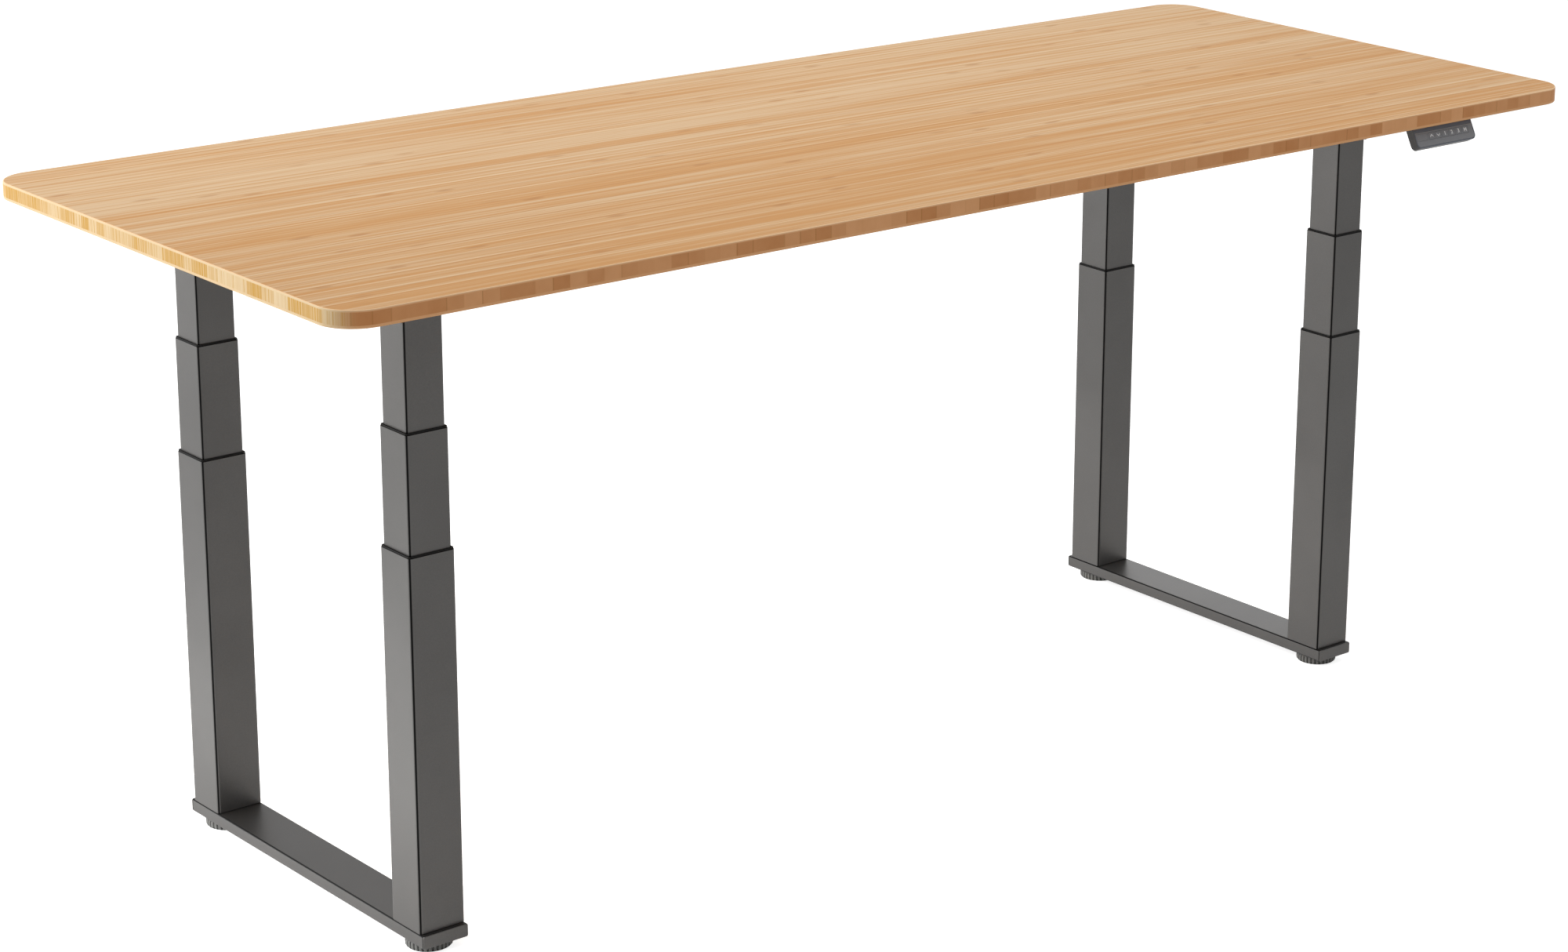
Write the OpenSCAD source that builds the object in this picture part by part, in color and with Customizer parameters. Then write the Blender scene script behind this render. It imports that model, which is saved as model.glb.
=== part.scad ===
// Height adjustable standing desk on four telescopic columns.
// Origin: on the floor under the centre of the desktop. +X to the right, -Y to the user, +Z up.
// It is drawn with the desktop at a low working height, part of the way up its travel.

/* [Desktop] */
// Length of the desktop, left to right
desk_l = 1900; // [1400:10:2100]
// Depth of the desktop, front to back
desk_w = 760; // [700:10:900]
// Thickness of the desktop
desk_t = 20; // [18:1:30]
// Corner radius of the desktop, seen from above
desk_r = 45; // [10:1:80]
// From each end of the desktop to the column axes
side_overhang = 217; // [150:1:260]
// From the front edge of the desktop to the front column axes
front_overhang = 215; // [150:1:240]
// From the back edge of the desktop to the back column axes
back_overhang = 95; // [75:1:150]

/* [Columns] */
// Outside width of the lowest, widest tube
outer_w = 60; // [58:1:66]
// Step in width from one tube to the next, on each side
stage_step = 2.5; // [2.4:0.1:3]
// Wall of the column tubes
tube_wall = 1.6; // [1.5:0.1:1.8]
// Corner radius of the widest tube
tube_r = 4; // [3.5:0.1:6]
// Running gap between a sliding tube and its guide sleeve
slide_gap = 0.3; // [0.25:0.05:0.5]
// Length of the lowest tube
outer_l = 452; // [440:1:480]
// Length of the middle tube that shows at rest
middle_out = 141; // [130:1:160]
// Length of the inner tube that shows at rest, up to the gearbox
inner_out = 142; // [135:1:160]
// Travel of the desktop up from rest
lift_up = 420; // [300:5:425]
// Travel of the desktop down from rest
lift_down = 230; // [150:5:230]
// Length of a tube that stays inside the next one at full height
tube_overlap = 100; // [80:1:110]
// Height of the guide sleeves at the tube mouths
sleeve_h = 40; // [20:1:45]
// Thickness of the lip on a guide sleeve
lip_t = 1.5; // [1:0.1:3]
// Height of the shoes round the lower ends of the sliding tubes
shoe_h = 30; // [15:1:35]

/* [Feet] */
// Height of the foot rail
rail_h = 16; // [14:1:24]
// Wall of the foot rail
rail_wall = 2; // [1.5:0.1:3]
// Reach of the foot rail past the tubes at each end
rail_over = 4; // [2:1:20]
// Depth of the plug on a rail end cap
cap_plug = 8; // [4:1:10]
// Height of a levelling glide under the rail
glide_h = 12; // [10:1:20]
// Diameter of a levelling glide
glide_d = 55; // [40:1:56]
// Number of flutes round a glide
glide_flutes = 30; // [16:1:36]
// Radius of one flute
flute_r = 1.4; // [0.8:0.1:1.6]
// Diameter of the glide's threaded stud
stud_d = 8; // [6:1:10]
// Outside width of the weld nut that the stud turns in
glide_nut_w = 16; // [14:1:20]
// Height of that weld nut
glide_nut_h = 7; // [5:0.5:8]

/* [Drive] */
// Diameter of the inner lead screw
spindle_d = 12; // [10:0.5:12.5]
// Outside diameter of the hollow lead screw
screw_d = 20; // [18:0.5:21]
// Gap between the inner screw and the hollow one
screw_gap = 0.5; // [0.3:0.1:1]
// Running gap in the drive nuts and bushes
thread_gap = 0.05; // [0.03:0.01:0.1]
// Outside diameter of the push tube on the foot
push_d = 30; // [28:0.5:30.5]
// Wall of the push tube
push_wall = 2; // [1.5:0.1:3]
// Length of the push tube
push_l = 430; // [424:1:432]
// Height of the nut on the push tube
base_nut_h = 16; // [12:1:18]
// Wall of the carrier tube on the middle stage
carrier_wall = 2.5; // [2:0.1:3]
// Gap between the carrier tube and the push tube
carrier_gap = 0.5; // [0.3:0.1:0.6]
// Thickness of the plate that holds the carrier tube
carrier_plate = 4; // [3:0.5:6]
// Height of the bush that carries the hollow screw
bush_h = 10; // [6:1:12]
// Thickness of the collar on the hollow screw
collar_t = 3; // [2:0.5:4]
// Height of the nut on the carrier tube
spindle_nut_h = 20; // [16:1:22]
// Reach of a screw past its nut at full height
screw_spare = 8; // [4:1:20]
// Height of the gearbox with its lid
gearbox_h = 44; // [42:1:50]
// Length of the gearbox from the column axis to the motor
gearbox_l = 40; // [38:1:45]
// Thickness of the gearbox floor
gearbox_floor = 8; // [6:1:10]
// Thickness of the gearbox lid
gearbox_lid = 3; // [2:0.5:4]
// Gap between the gearbox and the side channel
gearbox_gap = 0.5; // [0.3:0.1:1]
// Depth of the spigot that enters the inner tube
spigot_h = 6; // [4:1:8]
// Diameter of the worm wheel
wheel_d = 34; // [30:1:36]
// Height of the worm wheel
wheel_h = 12; // [8:1:16]
// Gap round the worm wheel
wheel_gap = 0.3; // [0.3:0.1:1]
// Diameter of a motor
motor_d = 40; // [36:1:41]
// Length of a motor
motor_l = 100; // [80:1:100]
// Length of the boss on a motor's end
motor_boss = 6; // [4:1:8]

/* [Frame] */
// Sheet thickness of the side channels
channel_t = 3; // [2:0.5:4]
// Depth of the outer flange of a side channel
flange_outer = 62; // [58:1:66]
// Depth of the inner flange of a side channel
flange_inner = 44; // [42:1:46]
// Cut corner at the ends of the outer flange, and its reach past the tube
flange_cut = 30; // [20:1:40]
// Width of a crossbar
bar_w = 40; // [30:1:44]
// Height of a crossbar
bar_h = 25; // [20:1:30]
// Wall of a crossbar
bar_wall = 1.5; // [1.2:0.1:3]
// Distance between the axes of the two crossbars
bar_dy = 90; // [80:1:100]
// Length of a crossbar's end plate, along the channel
bar_plate_l = 70; // [66:1:74]
// Height of a crossbar's end plate
bar_plate_h = 36; // [34:1:38]
// Thickness of a crossbar's end plate
bar_plate_t = 3; // [2:0.5:5]
// Diameter of the crossbar bolts
bolt_d = 6; // [5:1:6]
// Diameter of a bolt's head and nut
bolt_head_d = 10; // [9:0.5:11]
// Height of a bolt's head and nut
bolt_head_h = 4; // [3:0.5:5]
// Diameter of the wood screws
wood_screw_d = 4; // [3:0.5:5]
// Length of a wood screw under its head
wood_screw_l = 15; // [12:1:16]
// Diameter of a wood screw's head
screw_head_d = 9; // [8:0.5:10]
// Height of a wood screw's head
screw_head_h = 2.5; // [2:0.5:3]
// Gap between a fastener and its hole
hole_gap = 0.25; // [0.1:0.05:0.5]

/* [Control box] */
// Length of the control box
box_l = 280; // [240:5:320]
// Depth of the control box, front to back
box_w = 90; // [80:1:100]
// Height of the control box with its lid
box_h = 34; // [32:1:44]
// Wall of the control box
box_wall = 2; // [1.5:0.5:3]
// Reach of each fixing tab on the lid
box_tab = 16; // [14:1:24]
// Gap between the control box and the front crossbar
box_bar_gap = 12; // [6:1:30]
// Width of the mains inlet
inlet_w = 22; // [18:1:26]
// Height of the mains inlet
inlet_h = 14; // [10:1:16]
// Depth of the mains inlet
inlet_depth = 16; // [12:1:20]
// Width of a motor socket
socket_w = 14; // [10:1:16]
// Height of a motor socket
socket_h = 8; // [6:1:10]
// Depth of a motor socket
socket_depth = 3; // [2:0.5:3.5]
// Height of the posts under the circuit board
post_h = 4; // [3:0.5:5]
// Thickness of the circuit boards
board_t = 1.6; // [1:0.1:2]

/* [Keypad] */
// Width of the keypad
pad_w = 112; // [108:1:130]
// Depth of the keypad below the desktop
pad_drop = 27; // [26:1:34]
// Thickness of the keypad, square to its face
pad_t = 12; // [11:0.5:15]
// Lean of the keypad's face from upright
pad_lean = 27; // [15:1:35]
// From the right end of the desktop to the middle of the keypad
pad_side = 239; // [200:1:400]
// From the front edge of the desktop back to the top of the face
pad_set = 14; // [4:1:20]
// Corner radius of the keypad's lower corners
pad_r = 7; // [6:0.5:9]
// Rim of the housing round the face plate
pad_rim = 1.6; // [1.2:0.1:2.5]
// Strip of the housing above the face plate
pad_strip = 9; // [6:0.5:11]
// Thickness of the face plate
face_t = 1.5; // [1.2:0.1:2]
// Depth of the mounting tongue on the underside of the desktop
tongue_l = 52; // [44:1:60]
// Thickness of that tongue
tongue_t = 4; // [3:0.5:5]
// Step in from each side of the keypad to the tongue
tongue_in = 1.5; // [0.5:0.5:6]
// Width of a key
key_w = 10.5; // [9:0.5:12]
// Height of a key
key_h = 9; // [8:0.5:11]
// Distance from one key to the next
key_pitch = 13; // [12.6:0.1:13.4]
// From the middle of the keypad to the first key
key_start = -25; // [-26:0.5:-24]
// Gap round a key in the face plate
key_gap = 0.3; // [0.2:0.05:0.4]
// Travel of a key
key_travel = 0.6; // [0.4:0.1:1]
// Width of the rim that holds a key behind the face plate
key_rim = 0.7; // [0.6:0.1:0.8]
// Thickness of that rim
key_rim_t = 0.8; // [0.6:0.1:1]
// Gap between that rim and the face plate
key_seat = 0.2; // [0.1:0.05:0.3]
// Height of a switch on the keypad's board
switch_h = 1.4; // [1:0.1:1.6]
// Width of the display window
window_w = 19; // [14:0.5:20]
// Height of the display window
window_h = 9; // [6:0.5:10]

/* [Hidden] */
$fn = 48;
eps = 1;                     // how far a cutter passes the face that it cuts
lap = 1;                     // how far one shape runs into another that it is joined to

// Colours
C_BAMBOO = [0.80, 0.58, 0.34];
C_STEEL = [0.26, 0.26, 0.25];
C_BLACK = [0.06, 0.06, 0.06];
C_GREY = [0.30, 0.31, 0.33];
C_BARE = [0.62, 0.63, 0.64];
C_BRASS = [0.72, 0.56, 0.28];
C_NYLON = [0.82, 0.81, 0.76];
C_BOARD = [0.10, 0.32, 0.18];

// The four columns: which side, and front (-1) or back (1)
FRONT_LEFT = [-1, -1];
BACK_LEFT = [-1, 1];
FRONT_RIGHT = [1, -1];
BACK_RIGHT = [1, 1];
COLUMNS = [FRONT_LEFT, BACK_LEFT, FRONT_RIGHT, BACK_RIGHT];
SIDES = [-1, 1];

// Plan
column_x = desk_l / 2 - side_overhang;
front_y = front_overhang - desk_w / 2;
back_y = desk_w / 2 - back_overhang;
column_dy = back_y - front_y;
frame_y = (front_y + back_y) / 2;

// Widths of the column tubes and what runs between them
middle_w = outer_w - 2 * stage_step;
inner_w = middle_w - 2 * stage_step;
middle_r = tube_r - slide_gap;
inner_r = middle_r - slide_gap;
sleeve_wall = stage_step - tube_wall - slide_gap;
lip_in = 0.5;                // how far a lip stays inside its tube's face

// Heights from the floor
rail_top = glide_h + rail_h;
outer_top = rail_top + outer_l;
middle_top = outer_top + middle_out;
inner_top = middle_top + inner_out;
under_z = inner_top + gearbox_h + channel_t;
middle_l = middle_out + lift_up / 2 + tube_overlap;
inner_l = inner_out + lift_up / 2 + tube_overlap;
middle_bottom = middle_top - middle_l;
inner_bottom = inner_top - inner_l;

// Drive: the push tube stands on the foot, the carrier tube on the middle stage
base_nut_top = rail_top + push_l + base_nut_h;
down_half = lift_down / 2;
up_half = lift_up / 2;
bush_clear = 12;             // from the base nut up to the bush, with the desk right down
carrier_top = base_nut_top + bush_clear + bush_h + down_half;
carrier_d = push_d + 2 * (carrier_gap + carrier_wall);
collar_gap = 0.3;            // end float of the hollow screw
collar_d = push_d;
hollow_bore = spindle_d + 2 * screw_gap;
screw_top = carrier_top + collar_gap + collar_t;
screw_bottom = rail_top + push_l - screw_spare - up_half;
spindle_bottom = carrier_top + collar_t + 2 * collar_gap - screw_spare - up_half;
gear_floor_z = inner_top + gearbox_floor;
gear_lid_z = inner_top + gearbox_h - gearbox_lid;
spindle_top_gap = 0.5;
spindle_top = inner_top + gearbox_h - spindle_top_gap;
gear_w = inner_w - 2 * gearbox_gap;
motor_z = inner_top + gearbox_h / 2;
motor_plug = [12, 10, 8];

// Side channels and crossbars
channel_front = front_y - inner_w / 2 - flange_cut;
channel_back = back_y + inner_w / 2 + flange_cut;
web_x = column_x - inner_w / 2 - channel_t;   // face of the inner flange that the crossbars meet
web_z = under_z - channel_t;
bar_z = under_z - flange_inner / 2;
bar_r = 2;
bar_half = web_x - bar_plate_t;
bolt_in = 7;                 // from the end of a plate to its bolt
bolt_dy = bar_plate_l / 2 - bolt_in;
bolt_spare = 1;
channel_screws = [channel_front + flange_cut / 2, frame_y, channel_back - flange_cut / 2];
bar_rows = [frame_y - bar_dy / 2, frame_y + bar_dy / 2];

// Control box, in front of the front crossbar
box_y = bar_rows[0] - bar_w / 2 - box_bar_gap - box_w / 2;
box_floor = under_z - box_h;
lid_t = box_wall;
tab_screw_x = box_l / 2 + box_tab / 2;
tab_screw_in = 12;           // from the side of a tab to its screw
tab_screw_dy = box_w / 2 - tab_screw_in;
board_margin = 14;           // from the box's sides to the posts under the board
post_in = 22;                // from the box's ends to those posts
post_d = 6;
SOCKETS = [-2 : 2];
socket_pitch = socket_w + 3;
socket_block = 5 * socket_pitch;

// Keypad: drawn flat with its face at y = 0 and its top edge at z = 0, then leaned
pad_x = desk_l / 2 - pad_side;
pad_y = pad_set - desk_w / 2;
pad_l = pad_drop / cos(pad_lean);
face_w = pad_w - 2 * pad_rim;
face_gap = 0.15;             // gap round the face plate and the window
pocket_wall = 1.4;           // ledge under the face plate's edge
key_room = 0.4;              // gap between a key's rim and that ledge
key_z = -pad_strip - pocket_wall - key_room - key_rim - key_h / 2;
stem_l = 1.7;                // from a key's rim to the end of its stem
stem_gap = 0.2;              // from the stem of a key that is pressed to its switch
board_y = face_t + key_seat + key_rim_t + stem_l + key_travel + stem_gap + switch_h;
pocket_depth = board_y + board_t;
key_stem = board_y - switch_h - key_travel - stem_gap;
window_x = (key_start - key_pitch / 2 - face_w / 2) / 2;
tongue_w = pad_w - 2 * tongue_in;
tongue_screw_in = [16, 8];   // from the tongue's sides and back edge to its screws
tongue_screw_x = tongue_w / 2 - tongue_screw_in[0];
tongue_screw_y = pad_y + tongue_l - tongue_screw_in[1];
KEYS = [0, 1, 2, 3, 4, 5];

// ---- Shapes that repeat ----

// A flat rectangle with round corners
module round_rect(w, d, r) {
    square([w - 2 * r, d], center = true);
    square([w, d - 2 * r], center = true);
    for (sx = SIDES, sy = SIDES)
        translate([sx * (w / 2 - r), sy * (d / 2 - r)]) circle(r);
}

// A square tube standing on z = 0
module square_tube(w, wall, r, h) {
    difference() {
        linear_extrude(h) round_rect(w, w, r);
        translate([0, 0, -eps]) linear_extrude(h + 2 * eps)
            round_rect(w - 2 * wall, w - 2 * wall, r - wall);
    }
}

// A ring standing on z = 0
module ring(r_out, r_in, h) {
    difference() {
        cylinder(r = r_out, h = h);
        translate([0, 0, -eps]) cylinder(r = r_in, h = h + 2 * eps);
    }
}

// Children placed on one column's axis
module at_column(c) {
    translate([c[0] * column_x, c[1] < 0 ? front_y : back_y, 0]) children();
}

// The same, with +Y towards the middle of the frame
module drive_at(c) {
    at_column(c) mirror([0, c[1] > 0 ? 1 : 0, 0]) children();
}

// ---- Feet ----

module foot_rail(side) {
    len = column_dy + outer_w + 2 * rail_over;
    color(C_STEEL) translate([side * column_x, frame_y, glide_h]) difference() {
        translate([-outer_w / 2, -len / 2, 0]) cube([outer_w, len, rail_h]);
        translate([-outer_w / 2 + rail_wall, -len / 2 - eps, rail_wall])
            cube([outer_w - 2 * rail_wall, len + 2 * eps, rail_h - 2 * rail_wall]);
        for (s = SIDES) translate([0, s * column_dy / 2, -eps])
            cylinder(d = stud_d + 2 * hole_gap, h = rail_wall + 2 * eps);
    }
}

module rail_end_caps() {
    len = column_dy + outer_w + 2 * rail_over;
    lid = 2;
    color(C_STEEL) for (side = SIDES, s = SIDES)
        translate([side * column_x, frame_y + s * len / 2, glide_h])
            mirror([0, s < 0 ? 1 : 0, 0]) union() {
                translate([-outer_w / 2, 0, 0]) cube([outer_w, lid, rail_h]);
                translate([-outer_w / 2 + rail_wall, -cap_plug, rail_wall])
                    cube([outer_w - 2 * rail_wall, cap_plug + lap, rail_h - 2 * rail_wall]);
            }
}

module glide_nuts() {
    color(C_BARE) for (c = COLUMNS) at_column(c)
        translate([0, 0, glide_h + rail_wall]) difference() {
            cylinder(d = glide_nut_w, h = glide_nut_h, $fn = 6);
            translate([0, 0, -eps])
                cylinder(d = stud_d + 2 * thread_gap, h = glide_nut_h + 2 * eps);
        }
}

// A fluted pad with a steel stud set in it
module glide(c) {
    pad_gap = 0.5;
    stud_set = 6;
    stud_spare = 1;
    flute_base = 1.5;
    pad_h = glide_h - pad_gap;
    seat_z = pad_h - stud_set;
    stud_top = glide_h + rail_wall + glide_nut_h + stud_spare;
    at_column(c) {
        color(C_BLACK) difference() {
            cylinder(d = glide_d, h = pad_h);
            for (i = [0 : glide_flutes - 1]) rotate(i * 360 / glide_flutes)
                translate([glide_d / 2, 0, flute_base]) cylinder(r = flute_r, h = pad_h, $fn = 24);
            translate([0, 0, seat_z - thread_gap])
                cylinder(d = stud_d + 2 * thread_gap, h = stud_set + eps);
        }
        color(C_BARE) translate([0, 0, seat_z]) cylinder(d = stud_d, h = stud_top - seat_z);
    }
}

// ---- Lowest stage ----

module outer_tube(c) {
    color(C_STEEL) at_column(c) translate([0, 0, rail_top])
        square_tube(outer_w, tube_wall, tube_r, outer_l);
}

// A guide sleeve with a lip, in the mouth of a tube of outside width w
module sleeve(w, top) {
    bore = w - 2 * (tube_wall + sleeve_wall);
    translate([0, 0, top]) difference() {
        union() {
            translate([0, 0, -sleeve_h]) linear_extrude(sleeve_h + lip_t / 2)
                round_rect(w - 2 * tube_wall, w - 2 * tube_wall, tube_r - tube_wall);
            linear_extrude(lip_t)
                round_rect(w - 2 * lip_in, w - 2 * lip_in, tube_r - lip_in);
        }
        translate([0, 0, -sleeve_h - eps]) linear_extrude(sleeve_h + lip_t + 2 * eps)
            round_rect(bore, bore, tube_r - tube_wall - sleeve_wall);
    }
}

module outer_sleeves() {
    color(C_BLACK) for (c = COLUMNS) at_column(c) sleeve(outer_w, outer_top);
}

module push_tubes() {
    color(C_BARE) for (c = COLUMNS) at_column(c) translate([0, 0, rail_top])
        ring(push_d / 2, push_d / 2 - push_wall, push_l);
}

module base_nuts() {
    color(C_NYLON) for (c = COLUMNS) at_column(c) translate([0, 0, rail_top + push_l])
        ring(push_d / 2, screw_d / 2 + thread_gap, base_nut_h);
}

// ---- Middle stage ----

module middle_tube(c) {
    color(C_STEEL) at_column(c) translate([0, 0, middle_bottom])
        square_tube(middle_w, tube_wall, middle_r, middle_l);
}

module middle_sleeves() {
    color(C_BLACK) for (c = COLUMNS) at_column(c) sleeve(middle_w, middle_top);
}

// A shoe round the lower end of a tube of outside width w and corner radius r
module shoe(w, r, bottom) {
    translate([0, 0, bottom])
        square_tube(w + 2 * sleeve_wall, sleeve_wall, r + sleeve_wall, shoe_h);
}

module middle_shoes() {
    color(C_NYLON) for (c = COLUMNS) at_column(c) shoe(middle_w, middle_r, middle_bottom);
}

module carrier_tubes() {
    plate_w = middle_w - 2 * tube_wall;
    bore_r = push_d / 2 + carrier_gap;
    color(C_BARE) for (c = COLUMNS) at_column(c) translate([0, 0, middle_bottom]) difference() {
        union() {
            linear_extrude(carrier_plate)
                round_rect(plate_w, plate_w, middle_r - tube_wall);
            cylinder(d = carrier_d, h = carrier_top - middle_bottom);
        }
        translate([0, 0, -eps]) cylinder(r = bore_r, h = carrier_top - middle_bottom + 2 * eps);
    }
}

module screw_bushes() {
    color(C_BRASS) for (c = COLUMNS) at_column(c) translate([0, 0, carrier_top - bush_h])
        ring(push_d / 2 + carrier_gap, screw_d / 2 + thread_gap, bush_h);
}

// The nut for the inner screw caps the carrier tube and holds the collar down
module spindle_nuts() {
    room = collar_t + 2 * collar_gap;
    color(C_NYLON) for (c = COLUMNS) at_column(c) translate([0, 0, carrier_top]) difference() {
        cylinder(d = carrier_d, h = spindle_nut_h);
        translate([0, 0, -eps]) cylinder(r = push_d / 2 + carrier_gap, h = room + eps);
        translate([0, 0, -eps])
            cylinder(r = spindle_d / 2 + thread_gap, h = spindle_nut_h + 2 * eps);
    }
}

module hollow_screw(c) {
    color(C_BARE) at_column(c) difference() {
        union() {
            translate([0, 0, screw_bottom]) cylinder(d = screw_d, h = screw_top - screw_bottom);
            translate([0, 0, screw_top - collar_t]) cylinder(d = collar_d, h = collar_t);
        }
        translate([0, 0, screw_bottom - eps])
            cylinder(d = hollow_bore, h = screw_top - screw_bottom + 2 * eps);
    }
}

// ---- Inner stage, with the motors ----

module inner_tube(c) {
    color(C_STEEL) at_column(c) translate([0, 0, inner_bottom])
        square_tube(inner_w, tube_wall, inner_r, inner_l);
}

module inner_shoes() {
    color(C_NYLON) for (c = COLUMNS) at_column(c) shoe(inner_w, inner_r, inner_bottom);
}

// The inner lead screw, with its worm wheel as a second solid
module spindle(c) {
    wheel_z = gear_floor_z + wheel_gap;
    at_column(c) {
        color(C_BARE) translate([0, 0, spindle_bottom])
            cylinder(d = spindle_d, h = spindle_top - spindle_bottom);
        color(C_BRASS) translate([0, 0, wheel_z])
            ring(wheel_d / 2, spindle_d / 2 + thread_gap, wheel_h);
    }
}

module gearbox_housings() {
    spigot_w = inner_w - 2 * tube_wall;
    spigot_r = inner_r - tube_wall;
    room_d = wheel_d + 2 * wheel_gap;
    color(C_BARE) for (c = COLUMNS) drive_at(c) difference() {
        union() {
            translate([-gear_w / 2, -gear_w / 2, inner_top])
                cube([gear_w, gear_w / 2 + gearbox_l, gearbox_h - gearbox_lid]);
            translate([0, 0, inner_top - spigot_h]) linear_extrude(spigot_h + lap)
                round_rect(spigot_w, spigot_w, spigot_r);
        }
        translate([0, 0, gear_floor_z]) cylinder(d = room_d, h = gearbox_h);
        translate([0, 0, inner_top - spigot_h - eps])
            cylinder(d = spindle_d + 2 * thread_gap, h = gearbox_h);
    }
}

module gearbox_lids() {
    color(C_BARE) for (c = COLUMNS) drive_at(c) difference() {
        translate([-gear_w / 2, -gear_w / 2, gear_lid_z])
            cube([gear_w, gear_w / 2 + gearbox_l, gearbox_lid]);
        translate([0, 0, gear_lid_z - eps])
            cylinder(d = spindle_d + 2 * thread_gap, h = gearbox_lid + 2 * eps);
    }
}

module drive_motors() {
    boss_d = 16;
    plug_in = 4;             // from the motor's end to its plug
    color(C_BLACK) for (c = COLUMNS) drive_at(c) translate([0, gearbox_l, motor_z]) union() {
        rotate([-90, 0, 0]) cylinder(d = motor_d, h = motor_l);
        rotate([-90, 0, 0]) cylinder(d = boss_d, h = motor_l + motor_boss);
        translate([-motor_plug[0] / 2, motor_l - motor_plug[1] - plug_in, -motor_d / 2 - lap])
            cube([motor_plug[0], motor_plug[1], motor_plug[2]]);
    }
}

// ---- Frame under the desktop ----

module side_channel(side) {
    cut = flange_cut;
    low = under_z - flange_outer;
    outline = [
        [channel_front + cut, low], [channel_back - cut, low], [channel_back, low + cut],
        [channel_back, under_z], [channel_front, under_z], [channel_front, low + cut]];
    len = channel_back - channel_front;
    color(C_STEEL) mirror([side < 0 ? 1 : 0, 0, 0]) difference() {
        union() {
            translate([column_x + inner_w / 2, 0, 0]) rotate([90, 0, 90])
                linear_extrude(channel_t) polygon(outline);
            translate([web_x, channel_front, web_z])
                cube([inner_w + 2 * channel_t, len, channel_t]);
            translate([web_x, channel_front, under_z - flange_inner])
                cube([channel_t, len, flange_inner]);
        }
        for (y = channel_screws) translate([column_x, y, web_z - eps])
            cylinder(d = wood_screw_d + 2 * hole_gap, h = channel_t + 2 * eps);
        for (y = bar_rows, s = SIDES) translate([web_x - eps, y + s * bolt_dy, bar_z])
            rotate([0, 90, 0]) cylinder(d = bolt_d + 2 * hole_gap, h = channel_t + 2 * eps);
    }
}

// Both crossbars, each with an end plate at both ends
module crossbars() {
    color(C_STEEL) for (y = bar_rows) translate([0, y, bar_z]) difference() {
        union() {
            translate([-bar_half, 0, 0]) rotate([90, 0, 90])
                linear_extrude(2 * bar_half) round_rect(bar_w, bar_h, bar_r);
            for (s = SIDES) translate([s * (bar_half + bar_plate_t / 2), 0, 0])
                cube([bar_plate_t, bar_plate_l, bar_plate_h], center = true);
        }
        translate([-web_x - eps, 0, 0]) rotate([90, 0, 90]) linear_extrude(2 * (web_x + eps))
            round_rect(bar_w - 2 * bar_wall, bar_h - 2 * bar_wall, bar_r - bar_wall);
        for (s = SIDES, t = SIDES) translate([s * (bar_half + bar_plate_t / 2), t * bolt_dy, 0])
            rotate([0, 90, 0])
                cylinder(d = bolt_d + 2 * hole_gap, h = bar_plate_t + 2 * eps, center = true);
    }
}

// Bolts from the crossbar plates into the inner flanges, each with its nut
module crossbar_bolts() {
    grip = bar_plate_t + channel_t;
    color(C_BARE) for (s = SIDES, y = bar_rows, t = SIDES)
        mirror([s < 0 ? 1 : 0, 0, 0]) translate([bar_half, y + t * bolt_dy, bar_z])
            rotate([0, 90, 0]) {
                union() {
                    translate([0, 0, -bolt_head_h])
                        cylinder(d = bolt_head_d, h = bolt_head_h, $fn = 6);
                    cylinder(d = bolt_d, h = grip + bolt_head_h + bolt_spare);
                }
                translate([0, 0, grip]) difference() {
                    cylinder(d = bolt_head_d, h = bolt_head_h, $fn = 6);
                    translate([0, 0, -eps])
                        cylinder(d = bolt_d + 2 * thread_gap, h = bolt_head_h + 2 * eps);
                }
            }
}

// Where the wood screws go: [x, y, thickness of what each one holds to the desktop]
WOOD_SCREWS = [
    for (s = SIDES, y = channel_screws) [s * column_x, y, channel_t],
    for (s = SIDES, t = SIDES) [s * tab_screw_x, box_y + t * tab_screw_dy, lid_t],
    for (s = SIDES) [pad_x + s * tongue_screw_x, tongue_screw_y, tongue_t]];

module desktop() {
    color(C_BAMBOO) difference() {
        translate([0, 0, under_z]) linear_extrude(desk_t) round_rect(desk_l, desk_w, desk_r);
        for (p = WOOD_SCREWS) translate([p[0], p[1], under_z - eps])
            cylinder(d = wood_screw_d, h = wood_screw_l - p[2] + eps);
    }
}

module desktop_screws() {
    color(C_BARE) for (p = WOOD_SCREWS) translate([p[0], p[1], under_z - p[2]]) union() {
        translate([0, 0, -screw_head_h]) cylinder(d = screw_head_d, h = screw_head_h);
        cylinder(d = wood_screw_d, h = wood_screw_l);
    }
}

// ---- Control box ----

module control_box() {
    deep = box_h - lid_t;
    color(C_BLACK) translate([0, box_y, box_floor]) difference() {
        union() {
            difference() {
                translate([-box_l / 2, -box_w / 2, 0]) cube([box_l, box_w, deep]);
                translate([box_wall - box_l / 2, box_wall - box_w / 2, box_wall])
                    cube([box_l - 2 * box_wall, box_w - 2 * box_wall, deep]);
            }
            for (s = SIDES, t = SIDES)
                translate([s * (box_l / 2 - post_in), t * (box_w / 2 - board_margin), 0])
                    cylinder(d = post_d, h = box_wall + post_h);
            // solid blocks behind the mains inlet and the motor sockets
            translate([box_l / 2 - inlet_depth - box_wall, -inlet_w / 2 - box_wall, 0])
                cube([inlet_depth + box_wall, inlet_w + 2 * box_wall, deep]);
            translate([-box_l / 2, -socket_block / 2, 0])
                cube([socket_depth + box_wall, socket_block, deep]);
        }
        translate([box_l / 2 - inlet_depth, -inlet_w / 2, (deep - inlet_h) / 2])
            cube([inlet_depth + eps, inlet_w, inlet_h]);
        for (i = SOCKETS)
            translate([-box_l / 2 - eps, i * socket_pitch - socket_w / 2, (deep - socket_h) / 2])
                cube([socket_depth + eps, socket_w, socket_h]);
    }
}

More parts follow.
